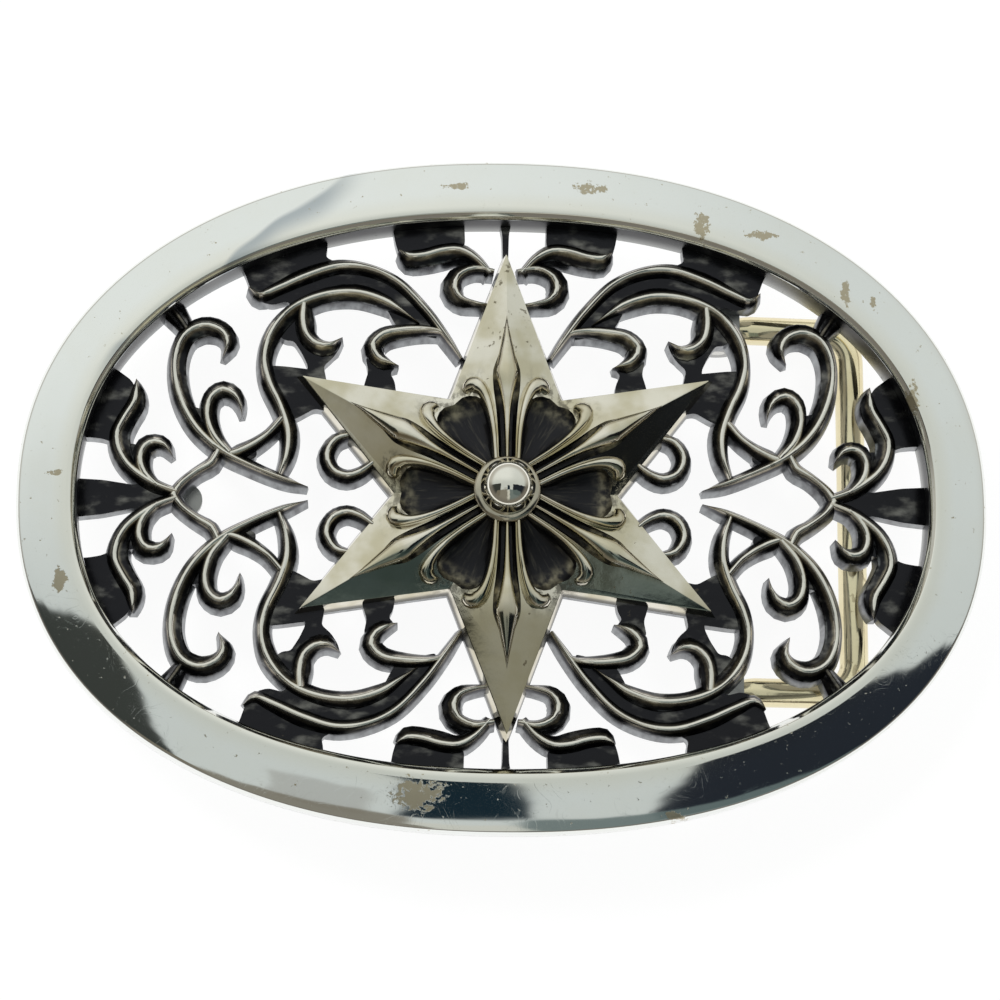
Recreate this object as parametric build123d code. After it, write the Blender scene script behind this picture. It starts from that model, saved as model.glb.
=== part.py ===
"""Belt buckle: an oval silver plate with a pierced scroll panel, a six-point star and a bail.

The plate lies on its back.  X runs along the belt, Y across it, and +Z points out of the
decorated face.  Heights in this file are first measured from the crest of the scrolls at the
middle of the plate, and the whole buckle is then lifted so that it stands on Z = 0.
"""
from build123d import *
from math import atan2, cos, degrees, hypot, pi, radians, sin, sqrt
import os

# ---- driving dimensions, millimetres -------------------------------------------------------
PLATE_LENGTH = 100.0        # outside of the rim, along the belt
PLATE_WIDTH = 70.0          # outside of the rim, across the belt
OUTER_SQUARENESS = 2.2      # exponent of the oval: 2 is an ellipse, more is squarer
OPENING_LENGTH = 87.4       # the hole in the rim that the scroll panel fills
OPENING_WIDTH = 57.0
OPENING_SQUARENESS = 2.25
BEND_RADIUS = 290.0         # the plate is bent about Y, to follow the wearer
OVAL_POINTS = 48            # points that a formula places on each oval edge

LIP_HEIGHT = 2.0            # inner lip of the rim above the scroll crests
SHOULDER_HEIGHT = 0.7       # outer shoulder of the rim
LIP_BEVEL = 0.7             # bevel between the face of the rim and its opening
LIP_BEVEL_DROP = 0.8
SHOULDER_ROUND = 0.45       # small round at the outer shoulder
RIM_OUTER_FOOT = -2.2       # lower edge of the outer wall
PANEL_BACK = -3.3           # back of the scroll panel and inner foot of the rim
COVE_HEIGHT = -0.45         # mean height of the panel between crest and cove
SOLDER_FILM = 0.02          # between the panel and the opening that it is soldered into
BLANK_DEPTH = 12.0          # pieces are extruded this far both ways and then cut to height

STAR_TIP_UPRIGHT = 25.0     # centre to the two tips on the Y axis
STAR_TIP_SLANTED = 24.1     # centre to the four slanted tips
STAR_CORNER = 11.4          # centre to the six inward corners
STAR_PEAK = 2.3             # height of the star under the bead
STAR_TIP_HEIGHT = 0.95
STAR_EDGE_HEIGHT = 0.45     # height of its inward corners
STAR_SEAT = -2.1            # the star stands on a thin seat that is part of the panel
STAR_FLARE = 0.5            # its side walls spread by this much from edge to foot
TIP_FLARE_SHARE = 2.2       # a sharp tip moves out by this many times the spread of a corner

BEAD_DIAMETER = 5.6
BEAD_CENTRE = 3.5
CUP_DIAMETER = 7.2
CUP_HEIGHT = 1.8
CUP_FLOOR = 0.5             # underside of the cup, let into a round recess in the star
CUP_CHAMFER = 0.35
RIVET_DIAMETER = 1.6
RIVET_CLEARANCE = 0.05      # all round
RIVET_END = -4.6
PEENED_DIAMETER = 2.6       # the rivet's end, spread over the washer
WASHER_DIAMETER = 5.0
WASHER_THICKNESS = 0.8

HOOK_X = -32.7              # the hook stands behind the knot at the left end
HOOK_PAD_DIAMETER = 3.4
HOOK_PAD_THICKNESS = 0.7
HOOK_SHANK_DIAMETER = 2.4
HOOK_TIP_DIAMETER = 1.8
HOOK_TAPER_LENGTH = 0.6

BAIL_WIRE = 3.0             # diameter of the bail's round wire
BAIL_HINGE_X = 22.5
BAIL_BAR_X = 36.5           # the bar that the belt is fastened to
BAIL_SIDE_Y = 19.2          # middle of each side wire
BAIL_CORNER = 3.2           # bend radius at the middle of the wire
BAIL_HINGE_Z = -6.8
BAIL_BAR_Z = -8.3
EYE_DIAMETER = 3.2
EYE_BREADTH = 2.4           # the wire's ends are flattened into eyes
EYE_NECK = 2.5              # from the hinge to where the full round wire begins
PIN_DIAMETER = 1.5
PIN_RUNNING_CLEARANCE = 0.05
LUG_GAP = 2.7               # between the two ears of a lug
LUG_EAR = 1.2
LUG_EAR_RADIUS = 1.9
LUG_BASE_LENGTH = 4.2
LUG_BASE_THICKNESS = 0.6

# Ridge lines of the scrolls in the quarter where X and Y are positive.  Each point is
# (x, y, breadth to the left, breadth to the right) seen in the direction of travel.
SCROLLS = {
    "beak_scroll": [
        (20.2, 0.7, 0.05, 0.05), (22.6, 1.5, 0.5, 0.45), (26.0, 2.9, 0.7, 0.5), (29.3, 4.7, 0.9, 0.6),
        (31.9, 7.3, 1.0, 0.7), (33.5, 10.6, 1.1, 0.7), (34.0, 14.0, 1.2, 0.6), (33.1, 16.7, 1.2, 0.8),
        (31.2, 17.8, 1.2, 1.0), (29.4, 17.3, 0.9, 1.1), (28.6, 16.0, 0.5, 1.0), (29.1, 14.3, 0.05, 0.05)],
    "heart_curl": [
        (28.3, 4.3, 0.6, 0.6), (29.9, 6.2, 0.9, 0.7), (30.6, 8.4, 1.0, 0.6), (30.2, 10.2, 0.9, 0.9),
        (29.0, 11.0, 0.9, 1.0), (27.8, 10.4, 0.6, 0.9), (27.2, 9.3, 0.3, 0.5), (27.0, 8.2, 0.05, 0.05)],
    "rim_neck": [
        (32.4, 16.8, 0.6, 0.6), (33.4, 18.4, 1.0, 0.9), (35.6, 21.4, 1.7, 1.6)],
    "great_curl": [
        (23.1, 2.0, 0.4, 0.4), (22.4, 4.2, 0.8, 0.6), (22.3, 6.6, 1.0, 0.7), (23.1, 9.2, 0.9, 0.8),
        (24.3, 11.8, 0.8, 0.8), (24.8, 14.4, 0.9, 0.6), (24.0, 17.2, 1.1, 0.7), (21.9, 19.6, 1.1, 0.6),
        (18.9, 20.9, 0.9, 0.8), (15.6, 21.2, 0.9, 1.0), (12.7, 20.4, 0.9, 0.9), (10.0, 18.6, 0.5, 0.6)],
    "eye_curl": [
        (20.8, 20.0, 0.6, 0.8), (20.9, 18.3, 0.8, 1.2), (20.5, 16.7, 0.9, 1.0), (19.4, 15.7, 1.0, 0.8),
        (18.1, 15.6, 1.0, 0.5), (16.8, 16.4, 0.05, 0.05)],
    "outer_leaf": [
        (4.6, 14.2, 0.3, 0.3), (6.2, 16.6, 0.5, 0.5), (8.3, 19.4, 0.6, 0.6), (11.0, 22.2, 0.6, 0.7),
        (14.0, 23.7, 0.6, 0.8), (17.2, 24.0, 0.8, 0.8), (20.5, 23.0, 1.0, 0.8), (23.4, 21.7, 0.8, 0.7),
        (25.5, 21.3, 0.7, 0.8)],
    "leaf_point": [
        (6.8, 15.7, 0.5, 0.5), (8.6, 16.8, 0.6, 0.7), (10.7, 17.1, 0.7, 0.9), (12.6, 16.8, 0.8, 1.1),
        (13.7, 15.6, 0.9, 1.1), (13.2, 14.4, 0.9, 0.8), (12.2, 13.8, 0.8, 0.5), (11.0, 13.4, 0.05, 0.05)],
    "crown_wave": [
        (1.6, 23.3, 0.4, 0.6), (3.1, 24.9, 0.6, 0.7), (4.8, 25.8, 0.8, 1.0), (6.6, 25.7, 0.8, 1.3),
        (8.4, 25.2, 0.8, 1.2), (10.2, 25.1, 0.8, 1.1)],
    "crown_ring": [
        (1.2, 23.5, 0.4, 0.4), (3.3, 23.8, 0.6, 0.6), (4.9, 23.0, 1.1, 0.6), (5.3, 21.7, 1.2, 0.8),
        (4.6, 20.6, 0.9, 0.5), (3.2, 20.1, 0.5, 0.4), (1.8, 19.9, 0.3, 0.3)],
    "star_ring": [
        (15.6, 6.2, 0.4, 0.4), (17.4, 5.7, 0.7, 0.7), (18.3, 4.1, 0.8, 0.8), (17.7, 2.5, 0.8, 0.8),
        (16.2, 1.9, 0.8, 0.7), (14.7, 2.4, 0.7, 0.6), (13.6, 3.2, 0.5, 0.5)],
    "tail_ridge": [
        (37.9, 11.2, 0.6, 0.9), (38.1, 9.8, 0.8, 1.2), (39.0, 8.3, 0.8, 1.3), (39.8, 6.6, 0.8, 1.4),
        (39.6, 4.9, 0.8, 1.3), (38.7, 3.3, 0.8, 0.9), (37.2, 2.0, 0.8, 0.7), (35.5, 1.0, 0.8, 0.6),
        (33.6, 0.3, 0.5, 0.5)],
    "tail_curl": [
        (35.5, 0.9, 0.5, 0.5), (36.9, 2.3, 0.8, 0.7), (37.4, 3.9, 1.0, 0.8), (36.9, 5.2, 0.9, 1.0),
        (35.9, 5.6, 0.9, 0.9), (34.9, 5.2, 0.5, 0.8), (34.0, 4.0, 0.05, 0.05)],
    "knot_strut": [
        (34.2, -0.5, 0.8, 0.8), (33.2, 1.1, 0.7, 0.6), (31.6, 2.4, 0.6, 0.6), (30.0, 3.4, 0.7, 0.7),
        (29.4, 4.6, 0.6, 0.6)],
    "cross_strut": [
        (22.9, 7.9, 0.6, 0.6), (24.2, 6.4, 0.6, 0.6), (25.7, 5.3, 0.7, 0.7), (27.3, 4.5, 0.8, 0.9),
        (28.3, 4.2, 0.5, 0.5)],
}

# Flat webs and blocks that join the scrolls to each other, to the star and to the rim.
WEBS = {
    "leaf_hollow": [
        (7.0, 16.4), (8.3, 19.4), (11.0, 22.2), (14.0, 23.7), (17.2, 24.0), (20.5, 23.0), (25.5, 21.3),
        (25.2, 20.3), (24.0, 20.0), (22.5, 20.4), (21.9, 19.6), (18.9, 20.9), (15.6, 21.2), (12.7, 20.4),
        (11.5, 18.1), (10.7, 17.1)],
    "leaf_block": [
        (18.4, 29.0), (18.4, 26.0), (18.6, 25.1), (16.8, 24.2), (20.5, 22.8), (25.2, 20.6), (26.3, 21.7),
        (26.9, 23.4), (29.0, 27.0)],
    "crown_block": [
        (4.3, 30.0), (4.2, 26.6), (4.6, 25.4), (8.0, 25.0), (10.2, 24.2), (10.9, 25.0), (11.4, 26.6),
        (12.0, 30.0)],
    "crown_spur": [(-0.3, 24.0), (0.25, 24.0), (0.35, 27.6), (0.8, 30.0), (-0.3, 30.0)],
    "tip_plate": [
        (17.6, 8.6), (19.6, 9.0), (21.2, 8.1), (22.4, 7.6), (24.3, 11.8), (24.4, 13.6), (22.8, 13.5),
        (19.6, 13.1), (18.6, 12.6)],
    "eye_foot": [
        (16.8, 16.3), (17.0, 15.5), (17.7, 14.4), (18.7, 13.5), (18.3, 11.5), (20.6, 11.5), (20.3, 13.5),
        (20.9, 14.8), (21.8, 16.2), (22.6, 16.2), (24.0, 17.2), (21.9, 19.6), (20.8, 19.0), (19.4, 15.8)],
    "point_foot": [
        (11.3, 13.3), (11.9, 12.8), (11.4, 11.9), (11.2, 10.4), (14.8, 10.4), (14.4, 12.0), (14.1, 12.9),
        (14.4, 14.4), (13.2, 15.0)],
    "heart_web": [(28.8, 4.6), (30.3, 9.2), (31.2, 9.1), (32.2, 9.4), (33.0, 9.0), (31.9, 7.3), (29.3, 4.7)],
    "strut_web": [(25.4, 4.0), (25.6, 5.3), (27.6, 4.6), (29.0, 4.8), (27.0, 3.3)],
    "tail_block": [
        (37.9, 11.3), (38.5, 12.3), (39.3, 12.9), (42.0, 15.0), (46.0, 6.3), (42.6, 6.3), (41.2, 6.1),
        (40.3, 5.7), (39.8, 6.6), (38.1, 9.8)],
    "tail_web": [(36.4, 1.6), (37.4, 3.9), (37.6, 5.4), (38.5, 5.6), (39.6, 4.9), (38.7, 3.3), (37.2, 2.0)],
    "end_block": [
        (33.4, -0.5), (33.4, 0.6), (35.5, 1.0), (37.0, 1.6), (37.9, 1.2), (39.5, 1.5), (41.2, 1.8),
        (46.0, 2.2), (46.0, -0.5)],
}


# ---- shapes shared by several pieces -------------------------------------------------------
def bend_drop(x):
    """How far the bent plate has fallen below its middle at the distance x from it."""
    return BEND_RADIUS - sqrt(BEND_RADIUS ** 2 - x ** 2)


def oval_points(half_length, half_width, squareness):
    """Points round an oval whose squareness of 2 would make it an ellipse."""
    points = []
    for step in range(OVAL_POINTS):
        angle = 2 * pi * step / OVAL_POINTS
        reach = (abs(cos(angle) / half_length) ** squareness
                 + abs(sin(angle) / half_width) ** squareness) ** (-1 / squareness)
        points.append((reach * cos(angle), reach * sin(angle)))
    return points


def oval_edge(half_length, half_width, squareness, height):
    """Closed edge of an oval that lies on the bent plate, at a height above the crests."""
    flat = oval_points(half_length, half_width, squareness)
    return Edge.make_spline([Vector(x, y, height - bend_drop(x)) for x, y in flat], periodic=True)


def opening_face():
    """Flat face with the outline of the rim's opening, less the solder film."""
    flat = oval_points(OPENING_LENGTH / 2 - SOLDER_FILM, OPENING_WIDTH / 2 - SOLDER_FILM, OPENING_SQUARENESS)
    return Face(Wire([Edge.make_spline([Vector(x, y) for x, y in flat], periodic=True)]))


def bent_slab(bottom, top):
    """The layer of the bent plate between two heights."""
    axis = Plane((0, 0, -BEND_RADIUS), x_dir=(1, 0, 0), z_dir=(0, 1, 0))
    outside = axis * Cylinder(BEND_RADIUS + top, 2 * PLATE_WIDTH)
    inside = axis * Cylinder(BEND_RADIUS + bottom, 3 * PLATE_WIDTH)
    return (outside - inside) & Box(2 * PLATE_LENGTH, 2 * PLATE_WIDTH, PLATE_WIDTH)


def stroke_face(stroke):
    """Flat outline of one scroll, from its ridge line and its breadth on each side."""
    left_side, right_side = [], []
    last = len(stroke) - 1
    for place, (x, y, left, right) in enumerate(stroke):
        before = stroke[max(place - 1, 0)]
        after = stroke[min(place + 1, last)]
        run = hypot(after[0] - before[0], after[1] - before[1])
        across_x = -(after[1] - before[1]) / run
        across_y = (after[0] - before[0]) / run
        left_side.append((x + across_x * left, y + across_y * left))
        right_side.append((x - across_x * right, y - across_y * right))
    edges = [
        Edge.make_spline([Vector(*point) for point in left_side]),
        Edge.make_line(left_side[-1], right_side[-1]),
        Edge.make_spline([Vector(*point) for point in reversed(right_side)]),
        Edge.make_line(right_side[0], left_side[0]),
    ]
    return Face(Wire(edges))


def star_points(tip_growth, height_of):
    """The twelve corners of the star, tips and inward corners in turn, on the bent plate."""
    corners = []
    for place in range(12):
        angle = radians(90 + 30 * place)
        is_tip = place % 2 == 0
        upright = place % 6 == 0
        reach = (STAR_TIP_UPRIGHT if upright else STAR_TIP_SLANTED) if is_tip else STAR_CORNER
        reach += tip_growth * (TIP_FLARE_SHARE if is_tip else 1)
        x, y = reach * cos(angle), reach * sin(angle)
        corners.append(Vector(x, y, height_of(is_tip) - bend_drop(x)))
    return corners


# ---- the plate -----------------------------------------------------------------------------
def make_rim():
    """One cast band: a sloping polished face, a bevelled lip, straight walls and a flat back."""
    half_length, half_width = PLATE_LENGTH / 2, PLATE_WIDTH / 2
    open_length, open_width = OPENING_LENGTH / 2, OPENING_WIDTH / 2
    rings = [
        (open_length, open_width, OPENING_SQUARENESS, PANEL_BACK),
        (open_length, open_width, OPENING_SQUARENESS, LIP_HEIGHT - LIP_BEVEL_DROP),
        (open_length + LIP_BEVEL, open_width + LIP_BEVEL, OPENING_SQUARENESS, LIP_HEIGHT),
        (half_length - SHOULDER_ROUND, half_width - SHOULDER_ROUND, OUTER_SQUARENESS, SHOULDER_HEIGHT),
        (half_length, half_width, OUTER_SQUARENESS, SHOULDER_HEIGHT - SHOULDER_ROUND),
        (half_length, half_width, OUTER_SQUARENESS, RIM_OUTER_FOOT),
    ]
    edges = [oval_edge(*ring) for ring in rings]
    walls = []
    for place, edge in enumerate(edges):
        following = edges[(place + 1) % len(edges)]
        walls.append(Face.make_surface_from_curves(edge, following))
    return Solid(Shell(walls))


def make_panel(star):
    """The pierced panel: one quarter of scrolls and webs, mirrored, joined by the star's seat."""
    outlines = [stroke_face(stroke) for stroke in SCROLLS.values()]
    outlines += [Face(Wire.make_polygon([Vector(*corner) for corner in corners])) for corners in WEBS.values()]
    blanks = [extrude(outline, amount=BLANK_DEPTH, both=True).solid() for outline in outlines]
    opening = extrude(opening_face(), amount=BLANK_DEPTH, both=True)
    quarter = blanks[0].fuse(*blanks[1:]) & bent_slab(PANEL_BACK, COVE_HEIGHT) & opening
    quarter = quarter - star
    half = quarter.solids() + mirror(quarter, about=Plane.YZ).solids()
    whole = half + [mirror(solid, about=Plane.XZ) for solid in half]
    seat_outline = [Vector(corner.X, corner.Y) for corner in star_points(STAR_FLARE, lambda is_tip: 0)]
    seat = extrude(Face(Wire.make_polygon(seat_outline)), amount=BLANK_DEPTH, both=True)
    seat = seat & bent_slab(PANEL_BACK, STAR_SEAT) - Cylinder(RIVET_DIAMETER / 2 + RIVET_CLEARANCE, BLANK_DEPTH)
    return seat.solid().fuse(*whole)


def make_star():
    """Twelve sloping facets that rise from the edge to a ridge on each point, on flared walls."""
    edge = star_points(0, lambda is_tip: STAR_TIP_HEIGHT if is_tip else STAR_EDGE_HEIGHT)
    foot = star_points(STAR_FLARE, lambda is_tip: STAR_SEAT - 1)
    peak = Vector(0, 0, STAR_PEAK)
    base = Vector(0, 0, STAR_SEAT - 1)
    faces = []
    for place in range(12):
        following = (place + 1) % 12
        faces.append(Face(Wire.make_polygon([peak, edge[place], edge[following]])))
        faces.append(Face(Wire.make_polygon([edge[place], foot[place], foot[following]])))
        faces.append(Face(Wire.make_polygon([edge[place], foot[following], edge[following]])))
        faces.append(Face(Wire.make_polygon([base, foot[following], foot[place]])))
    solid = Solid(Shell(faces)) - bent_slab(STAR_SEAT - BLANK_DEPTH, STAR_SEAT)
    recess = Pos(0, 0, CUP_FLOOR + BLANK_DEPTH / 2) * Cylinder(CUP_DIAMETER / 2, BLANK_DEPTH)
    rivet_hole = Cylinder(RIVET_DIAMETER / 2 + RIVET_CLEARANCE, BLANK_DEPTH)
    return solid - recess - rivet_hole


# ---- the bead in the middle and its rivet ---------------------------------------------------
def make_bead_cup():
    """A low turned cup with a ball-shaped seat, let into the middle of the star."""
    cup = Pos(0, 0, CUP_FLOOR + CUP_HEIGHT / 2) * Cylinder(CUP_DIAMETER / 2, CUP_HEIGHT)
    cup = chamfer(cup.edges().group_by(Axis.Z)[-1], CUP_CHAMFER)
    seat = Pos(0, 0, BEAD_CENTRE) * Sphere(BEAD_DIAMETER / 2)
    return cup - seat - Cylinder(RIVET_DIAMETER / 2 + RIVET_CLEARANCE, BLANK_DEPTH)


def make_bead():
    """A polished ball with its rivet in one piece, peened over behind the washer."""
    ball = Pos(0, 0, BEAD_CENTRE) * Sphere(BEAD_DIAMETER / 2)
    length = BEAD_CENTRE - RIVET_END
    rivet = Pos(0, 0, RIVET_END + length / 2) * Cylinder(RIVET_DIAMETER / 2, length)
    peened_thickness = PANEL_BACK - WASHER_THICKNESS - RIVET_END
    peened = Pos(0, 0, RIVET_END + peened_thickness / 2) * Cylinder(PEENED_DIAMETER / 2, peened_thickness)
    return ball + rivet + peened


def make_bead_washer():
    """The washer that the rivet is closed over, on the back of the panel."""
    disc = Cylinder(WASHER_DIAMETER / 2, WASHER_THICKNESS)
    hole = Cylinder(RIVET_DIAMETER / 2 + RIVET_CLEARANCE, BLANK_DEPTH)
    washer = Pos(0, 0, PANEL_BACK - WASHER_THICKNESS / 2) * (disc - hole)
    return washer - bent_slab(PANEL_BACK, BLANK_DEPTH)


# ---- the hook ------------------------------------------------------------------------------
def make_hook_pad():
    """A round pad soldered to the back of the end block; its top follows the bent plate."""
    top = PANEL_BACK - bend_drop(HOOK_X)
    blank = Pos(HOOK_X, 0, top) * Cylinder(HOOK_PAD_DIAMETER / 2, 2 * HOOK_PAD_THICKNESS)
    return blank - bent_slab(PANEL_BACK, BLANK_DEPTH)


def make_hook_post():
    """The round post that a belt hole drops over: a straight shank, then a short taper."""
    foot_z = PANEL_BACK - bend_drop(HOOK_X) - HOOK_PAD_THICKNESS
    end_z = BAIL_BAR_Z - BAIL_WIRE / 2
    shank_length = foot_z - end_z - HOOK_TAPER_LENGTH
    shank = Pos(0, 0, -shank_length / 2) * Cylinder(HOOK_SHANK_DIAMETER / 2, shank_length)
    taper = Pos(0, 0, -shank_length - HOOK_TAPER_LENGTH / 2) * Cone(
        HOOK_TIP_DIAMETER / 2, HOOK_SHANK_DIAMETER / 2, HOOK_TAPER_LENGTH)
    return Pos(HOOK_X, 0, foot_z) * (shank + taper)


# ---- the bail and its hinges ---------------------------------------------------------------
def make_bail():
    """A wire loop with flattened eyes, which swings on two pins behind the plate."""
    slope_start = BAIL_HINGE_X + EYE_NECK
    slope = (BAIL_BAR_Z - BAIL_HINGE_Z) / (BAIL_BAR_X - BAIL_HINGE_X)
    start_z = BAIL_HINGE_Z + slope * (slope_start - BAIL_HINGE_X)
    path = FilletPolyline(
        (slope_start, -BAIL_SIDE_Y, start_z),
        (BAIL_BAR_X, -BAIL_SIDE_Y, BAIL_BAR_Z),
        (BAIL_BAR_X, BAIL_SIDE_Y, BAIL_BAR_Z),
        (slope_start, BAIL_SIDE_Y, start_z),
        radius=BAIL_CORNER)
    section = Plane(path @ 0, z_dir=path % 0) * Circle(BAIL_WIRE / 2)
    wire = sweep(section, path=path)
    fall = -degrees(atan2(BAIL_BAR_Z - BAIL_HINGE_Z, BAIL_BAR_X - BAIL_HINGE_X))
    neck_length = EYE_NECK + BAIL_WIRE / 4
    neck = Pos(neck_length / 2, 0, 0) * Box(neck_length, EYE_BREADTH, EYE_BREADTH)
    for side in (-1, 1):
        eye_place = Plane((BAIL_HINGE_X, side * BAIL_SIDE_Y, BAIL_HINGE_Z), z_dir=(0, 1, 0))
        wire += eye_place * Cylinder(EYE_DIAMETER / 2, EYE_BREADTH)
        wire += Pos(BAIL_HINGE_X, side * BAIL_SIDE_Y, BAIL_HINGE_Z) * Rot(0, fall, 0) * neck
        wire -= eye_place * Cylinder(PIN_DIAMETER / 2 + PIN_RUNNING_CLEARANCE, 2 * EYE_BREADTH)
    return wire


def make_bail_lug(side):
    """A soldered lug with two ears, one on each side of the bail's eye."""
    centre_y = side * BAIL_SIDE_Y
    breadth = LUG_GAP + 2 * LUG_EAR
    place = Plane((BAIL_HINGE_X, centre_y, BAIL_HINGE_Z), z_dir=(0, 1, 0))
    top = PANEL_BACK + LUG_BASE_THICKNESS    # trimmed to the bent back of the panel at the end
    round_end = place * Cylinder(LUG_EAR_RADIUS, breadth)
    stem_height = top - BAIL_HINGE_Z
    stem = Pos(BAIL_HINGE_X, centre_y, BAIL_HINGE_Z + stem_height / 2) * Box(
        2 * LUG_EAR_RADIUS, breadth, stem_height)
    gap_top = PANEL_BACK - bend_drop(BAIL_HINGE_X + LUG_BASE_LENGTH / 2) - LUG_BASE_THICKNESS
    base = Pos(BAIL_HINGE_X, centre_y, (gap_top + top) / 2) * Box(LUG_BASE_LENGTH, breadth, top - gap_top)
    gap = Pos(BAIL_HINGE_X, centre_y, gap_top - BLANK_DEPTH / 2) * Box(BLANK_DEPTH, LUG_GAP, BLANK_DEPTH)
    pin_hole = place * Cylinder(PIN_DIAMETER / 2, 2 * breadth)
    return (round_end + stem - gap + base) - pin_hole - bent_slab(PANEL_BACK, BLANK_DEPTH)


def make_bail_pin(side):
    """A plain pin pressed through both ears of a lug."""
    place = Plane((BAIL_HINGE_X, side * BAIL_SIDE_Y, BAIL_HINGE_Z), z_dir=(0, 1, 0))
    return place * Cylinder(PIN_DIAMETER / 2, LUG_GAP + 2 * LUG_EAR)


# ---- put together and written out ----------------------------------------------------------
def main():
    star = make_star()
    nodes = {
        "rim": make_rim(),
        "scroll_panel": make_panel(star),
        "star": star,
        "bead_cup": make_bead_cup(),
        "centre_bead": make_bead(),
        "bead_washer": make_bead_washer(),
        "hook_pad": make_hook_pad(),
        "hook_post": make_hook_post(),
        "bail_lug_upper": make_bail_lug(1),
        "bail_lug_lower": make_bail_lug(-1),
        "bail_pin_upper": make_bail_pin(1),
        "bail_pin_lower": make_bail_pin(-1),
        "bail": make_bail(),
    }
    lift = -(BAIL_BAR_Z - BAIL_WIRE / 2)
    os.makedirs("parts", exist_ok=True)
    for name, shape in nodes.items():
        export_step(Pos(0, 0, lift) * shape, f"parts/{name}.step")
    print("lift", round(lift, 3), "hinge height", round(BAIL_HINGE_Z + lift, 3))


main()
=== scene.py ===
# %% [markdown]
# # A pierced silver belt buckle
#
# The buckle is an oval plate: a polished rim round a panel of blackened scrolls, a six-point star
# on top of the panel, and a wire bail and a hook on the back. Its CAD model gives every size and
# place. This lesson gives it the modelling and the finishes that CAD leaves out: soft crests on
# the scrolls, ribs and hollows on the star, and silver that has been blackened and polished back.

# %% Load the CAD model as the fixed frame
import bpy
from math import atan2, cos, hypot, pi, radians, sin, sqrt
from mathutils import Matrix, Vector


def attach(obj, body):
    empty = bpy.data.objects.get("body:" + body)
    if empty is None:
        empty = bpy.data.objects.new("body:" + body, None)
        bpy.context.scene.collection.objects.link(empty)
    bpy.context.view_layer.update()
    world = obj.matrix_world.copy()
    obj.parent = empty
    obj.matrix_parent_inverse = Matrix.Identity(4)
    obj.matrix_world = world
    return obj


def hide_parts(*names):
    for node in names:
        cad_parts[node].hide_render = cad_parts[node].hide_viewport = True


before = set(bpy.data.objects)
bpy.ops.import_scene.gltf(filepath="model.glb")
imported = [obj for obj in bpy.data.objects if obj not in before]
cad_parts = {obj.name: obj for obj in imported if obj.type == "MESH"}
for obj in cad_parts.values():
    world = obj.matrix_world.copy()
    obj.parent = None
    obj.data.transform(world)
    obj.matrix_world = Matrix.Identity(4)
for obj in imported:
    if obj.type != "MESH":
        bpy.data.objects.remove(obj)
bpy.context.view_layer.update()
MM = 0.001                  # pieces are modelled in millimetres and shrunk to metres at the end
BEND_RADIUS = 290.0         # the plate is bent about Y, to follow the wearer
LIFT = 9.8                  # from the crests of the scrolls to the surface that the buckle lies on
print("nodes:", sorted(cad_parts))


def bend_drop(x):
    """How far the bent plate has fallen below its middle at the distance x from it."""
    return BEND_RADIUS - sqrt(BEND_RADIUS ** 2 - x ** 2)


# %% [markdown]
# ## The camera
#
# A small object like this is best seen from far off through a long lens, so that its shape isn't
# stretched. The camera stands 420 mm away and about twelve degrees off square, so that the lower
# walls of each scroll show. Its axes are worked out from the two tilts, and the lens from how
# large the buckle has to be in a square frame.

# %% Place the camera
CAMERA_TILT = -0.20944      # radians about X
CAMERA_TURN = 0.05236       # radians about Y
CAMERA_DISTANCE = 420.0
CAMERA_ASIDE = (-0.64, -0.72)
CAMERA_LENS, SENSOR_WIDTH = 148.35, 36.0
NEAREST_SEEN = 0.01         # metres

camera_turns = Matrix.Rotation(CAMERA_TILT, 3, "X") @ Matrix.Rotation(CAMERA_TURN, 3, "Y")
camera_axes = camera_turns.transposed()
camera = bpy.data.objects.new("camera", bpy.data.cameras.new("camera"))
bpy.context.scene.collection.objects.link(camera)
camera_place = camera_axes @ Vector((*CAMERA_ASIDE, CAMERA_DISTANCE)) + Vector((0, 0, LIFT))
camera.matrix_world = Matrix.Translation(camera_place * MM) @ camera_axes.to_4x4()
camera.data.lens = CAMERA_LENS
camera.data.sensor_width = SENSOR_WIDTH
camera.data.clip_start = NEAREST_SEEN
bpy.context.scene.camera = camera
print("camera at", [round(value, 3) for value in camera.location])


# %% [markdown]
# ## Small tools for the workbench
#
# Operators act on everything that is selected, so each piece starts from an empty selection. A
# piece is modelled flat and in millimetres, with Z measured from the crest of the scrolls. The
# last tool bends it, lifts it, shrinks it to metres, and hands it to the CAD body it moves with.

# %% Tools for starting and finishing a piece
def deselect_all():
    """Leaves edit mode and empties the selection."""
    if bpy.context.object and bpy.context.object.mode != "OBJECT":
        bpy.ops.object.mode_set(mode="OBJECT")
    bpy.ops.object.select_all(action="DESELECT")


def make_active(piece):
    """Selects one piece and nothing else."""
    deselect_all()
    piece.select_set(True)
    bpy.context.view_layer.objects.active = piece


def edit(piece, vertices=True):
    """Opens a piece for editing with all of it selected."""
    make_active(piece)
    bpy.ops.object.mode_set(mode="EDIT")
    bpy.ops.mesh.select_mode(type="VERT" if vertices else "FACE")
    bpy.ops.mesh.select_all(action="SELECT")


def name_new(name):
    """Names the primitive that was just added, and leaves edit mode."""
    if bpy.context.object.mode != "OBJECT":
        bpy.ops.object.mode_set(mode="OBJECT")
    piece = bpy.context.object
    piece.name = piece.data.name = name
    return piece


def lay(piece, place, selected_only=False):
    """Moves each vertex of a piece to where place(x, y, z) says."""
    if bpy.context.object.mode != "OBJECT":
        bpy.ops.object.mode_set(mode="OBJECT")
    for vertex in piece.data.vertices:
        if vertex.select or not selected_only:
            vertex.co = place(*vertex.co)
    piece.data.update()


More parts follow.
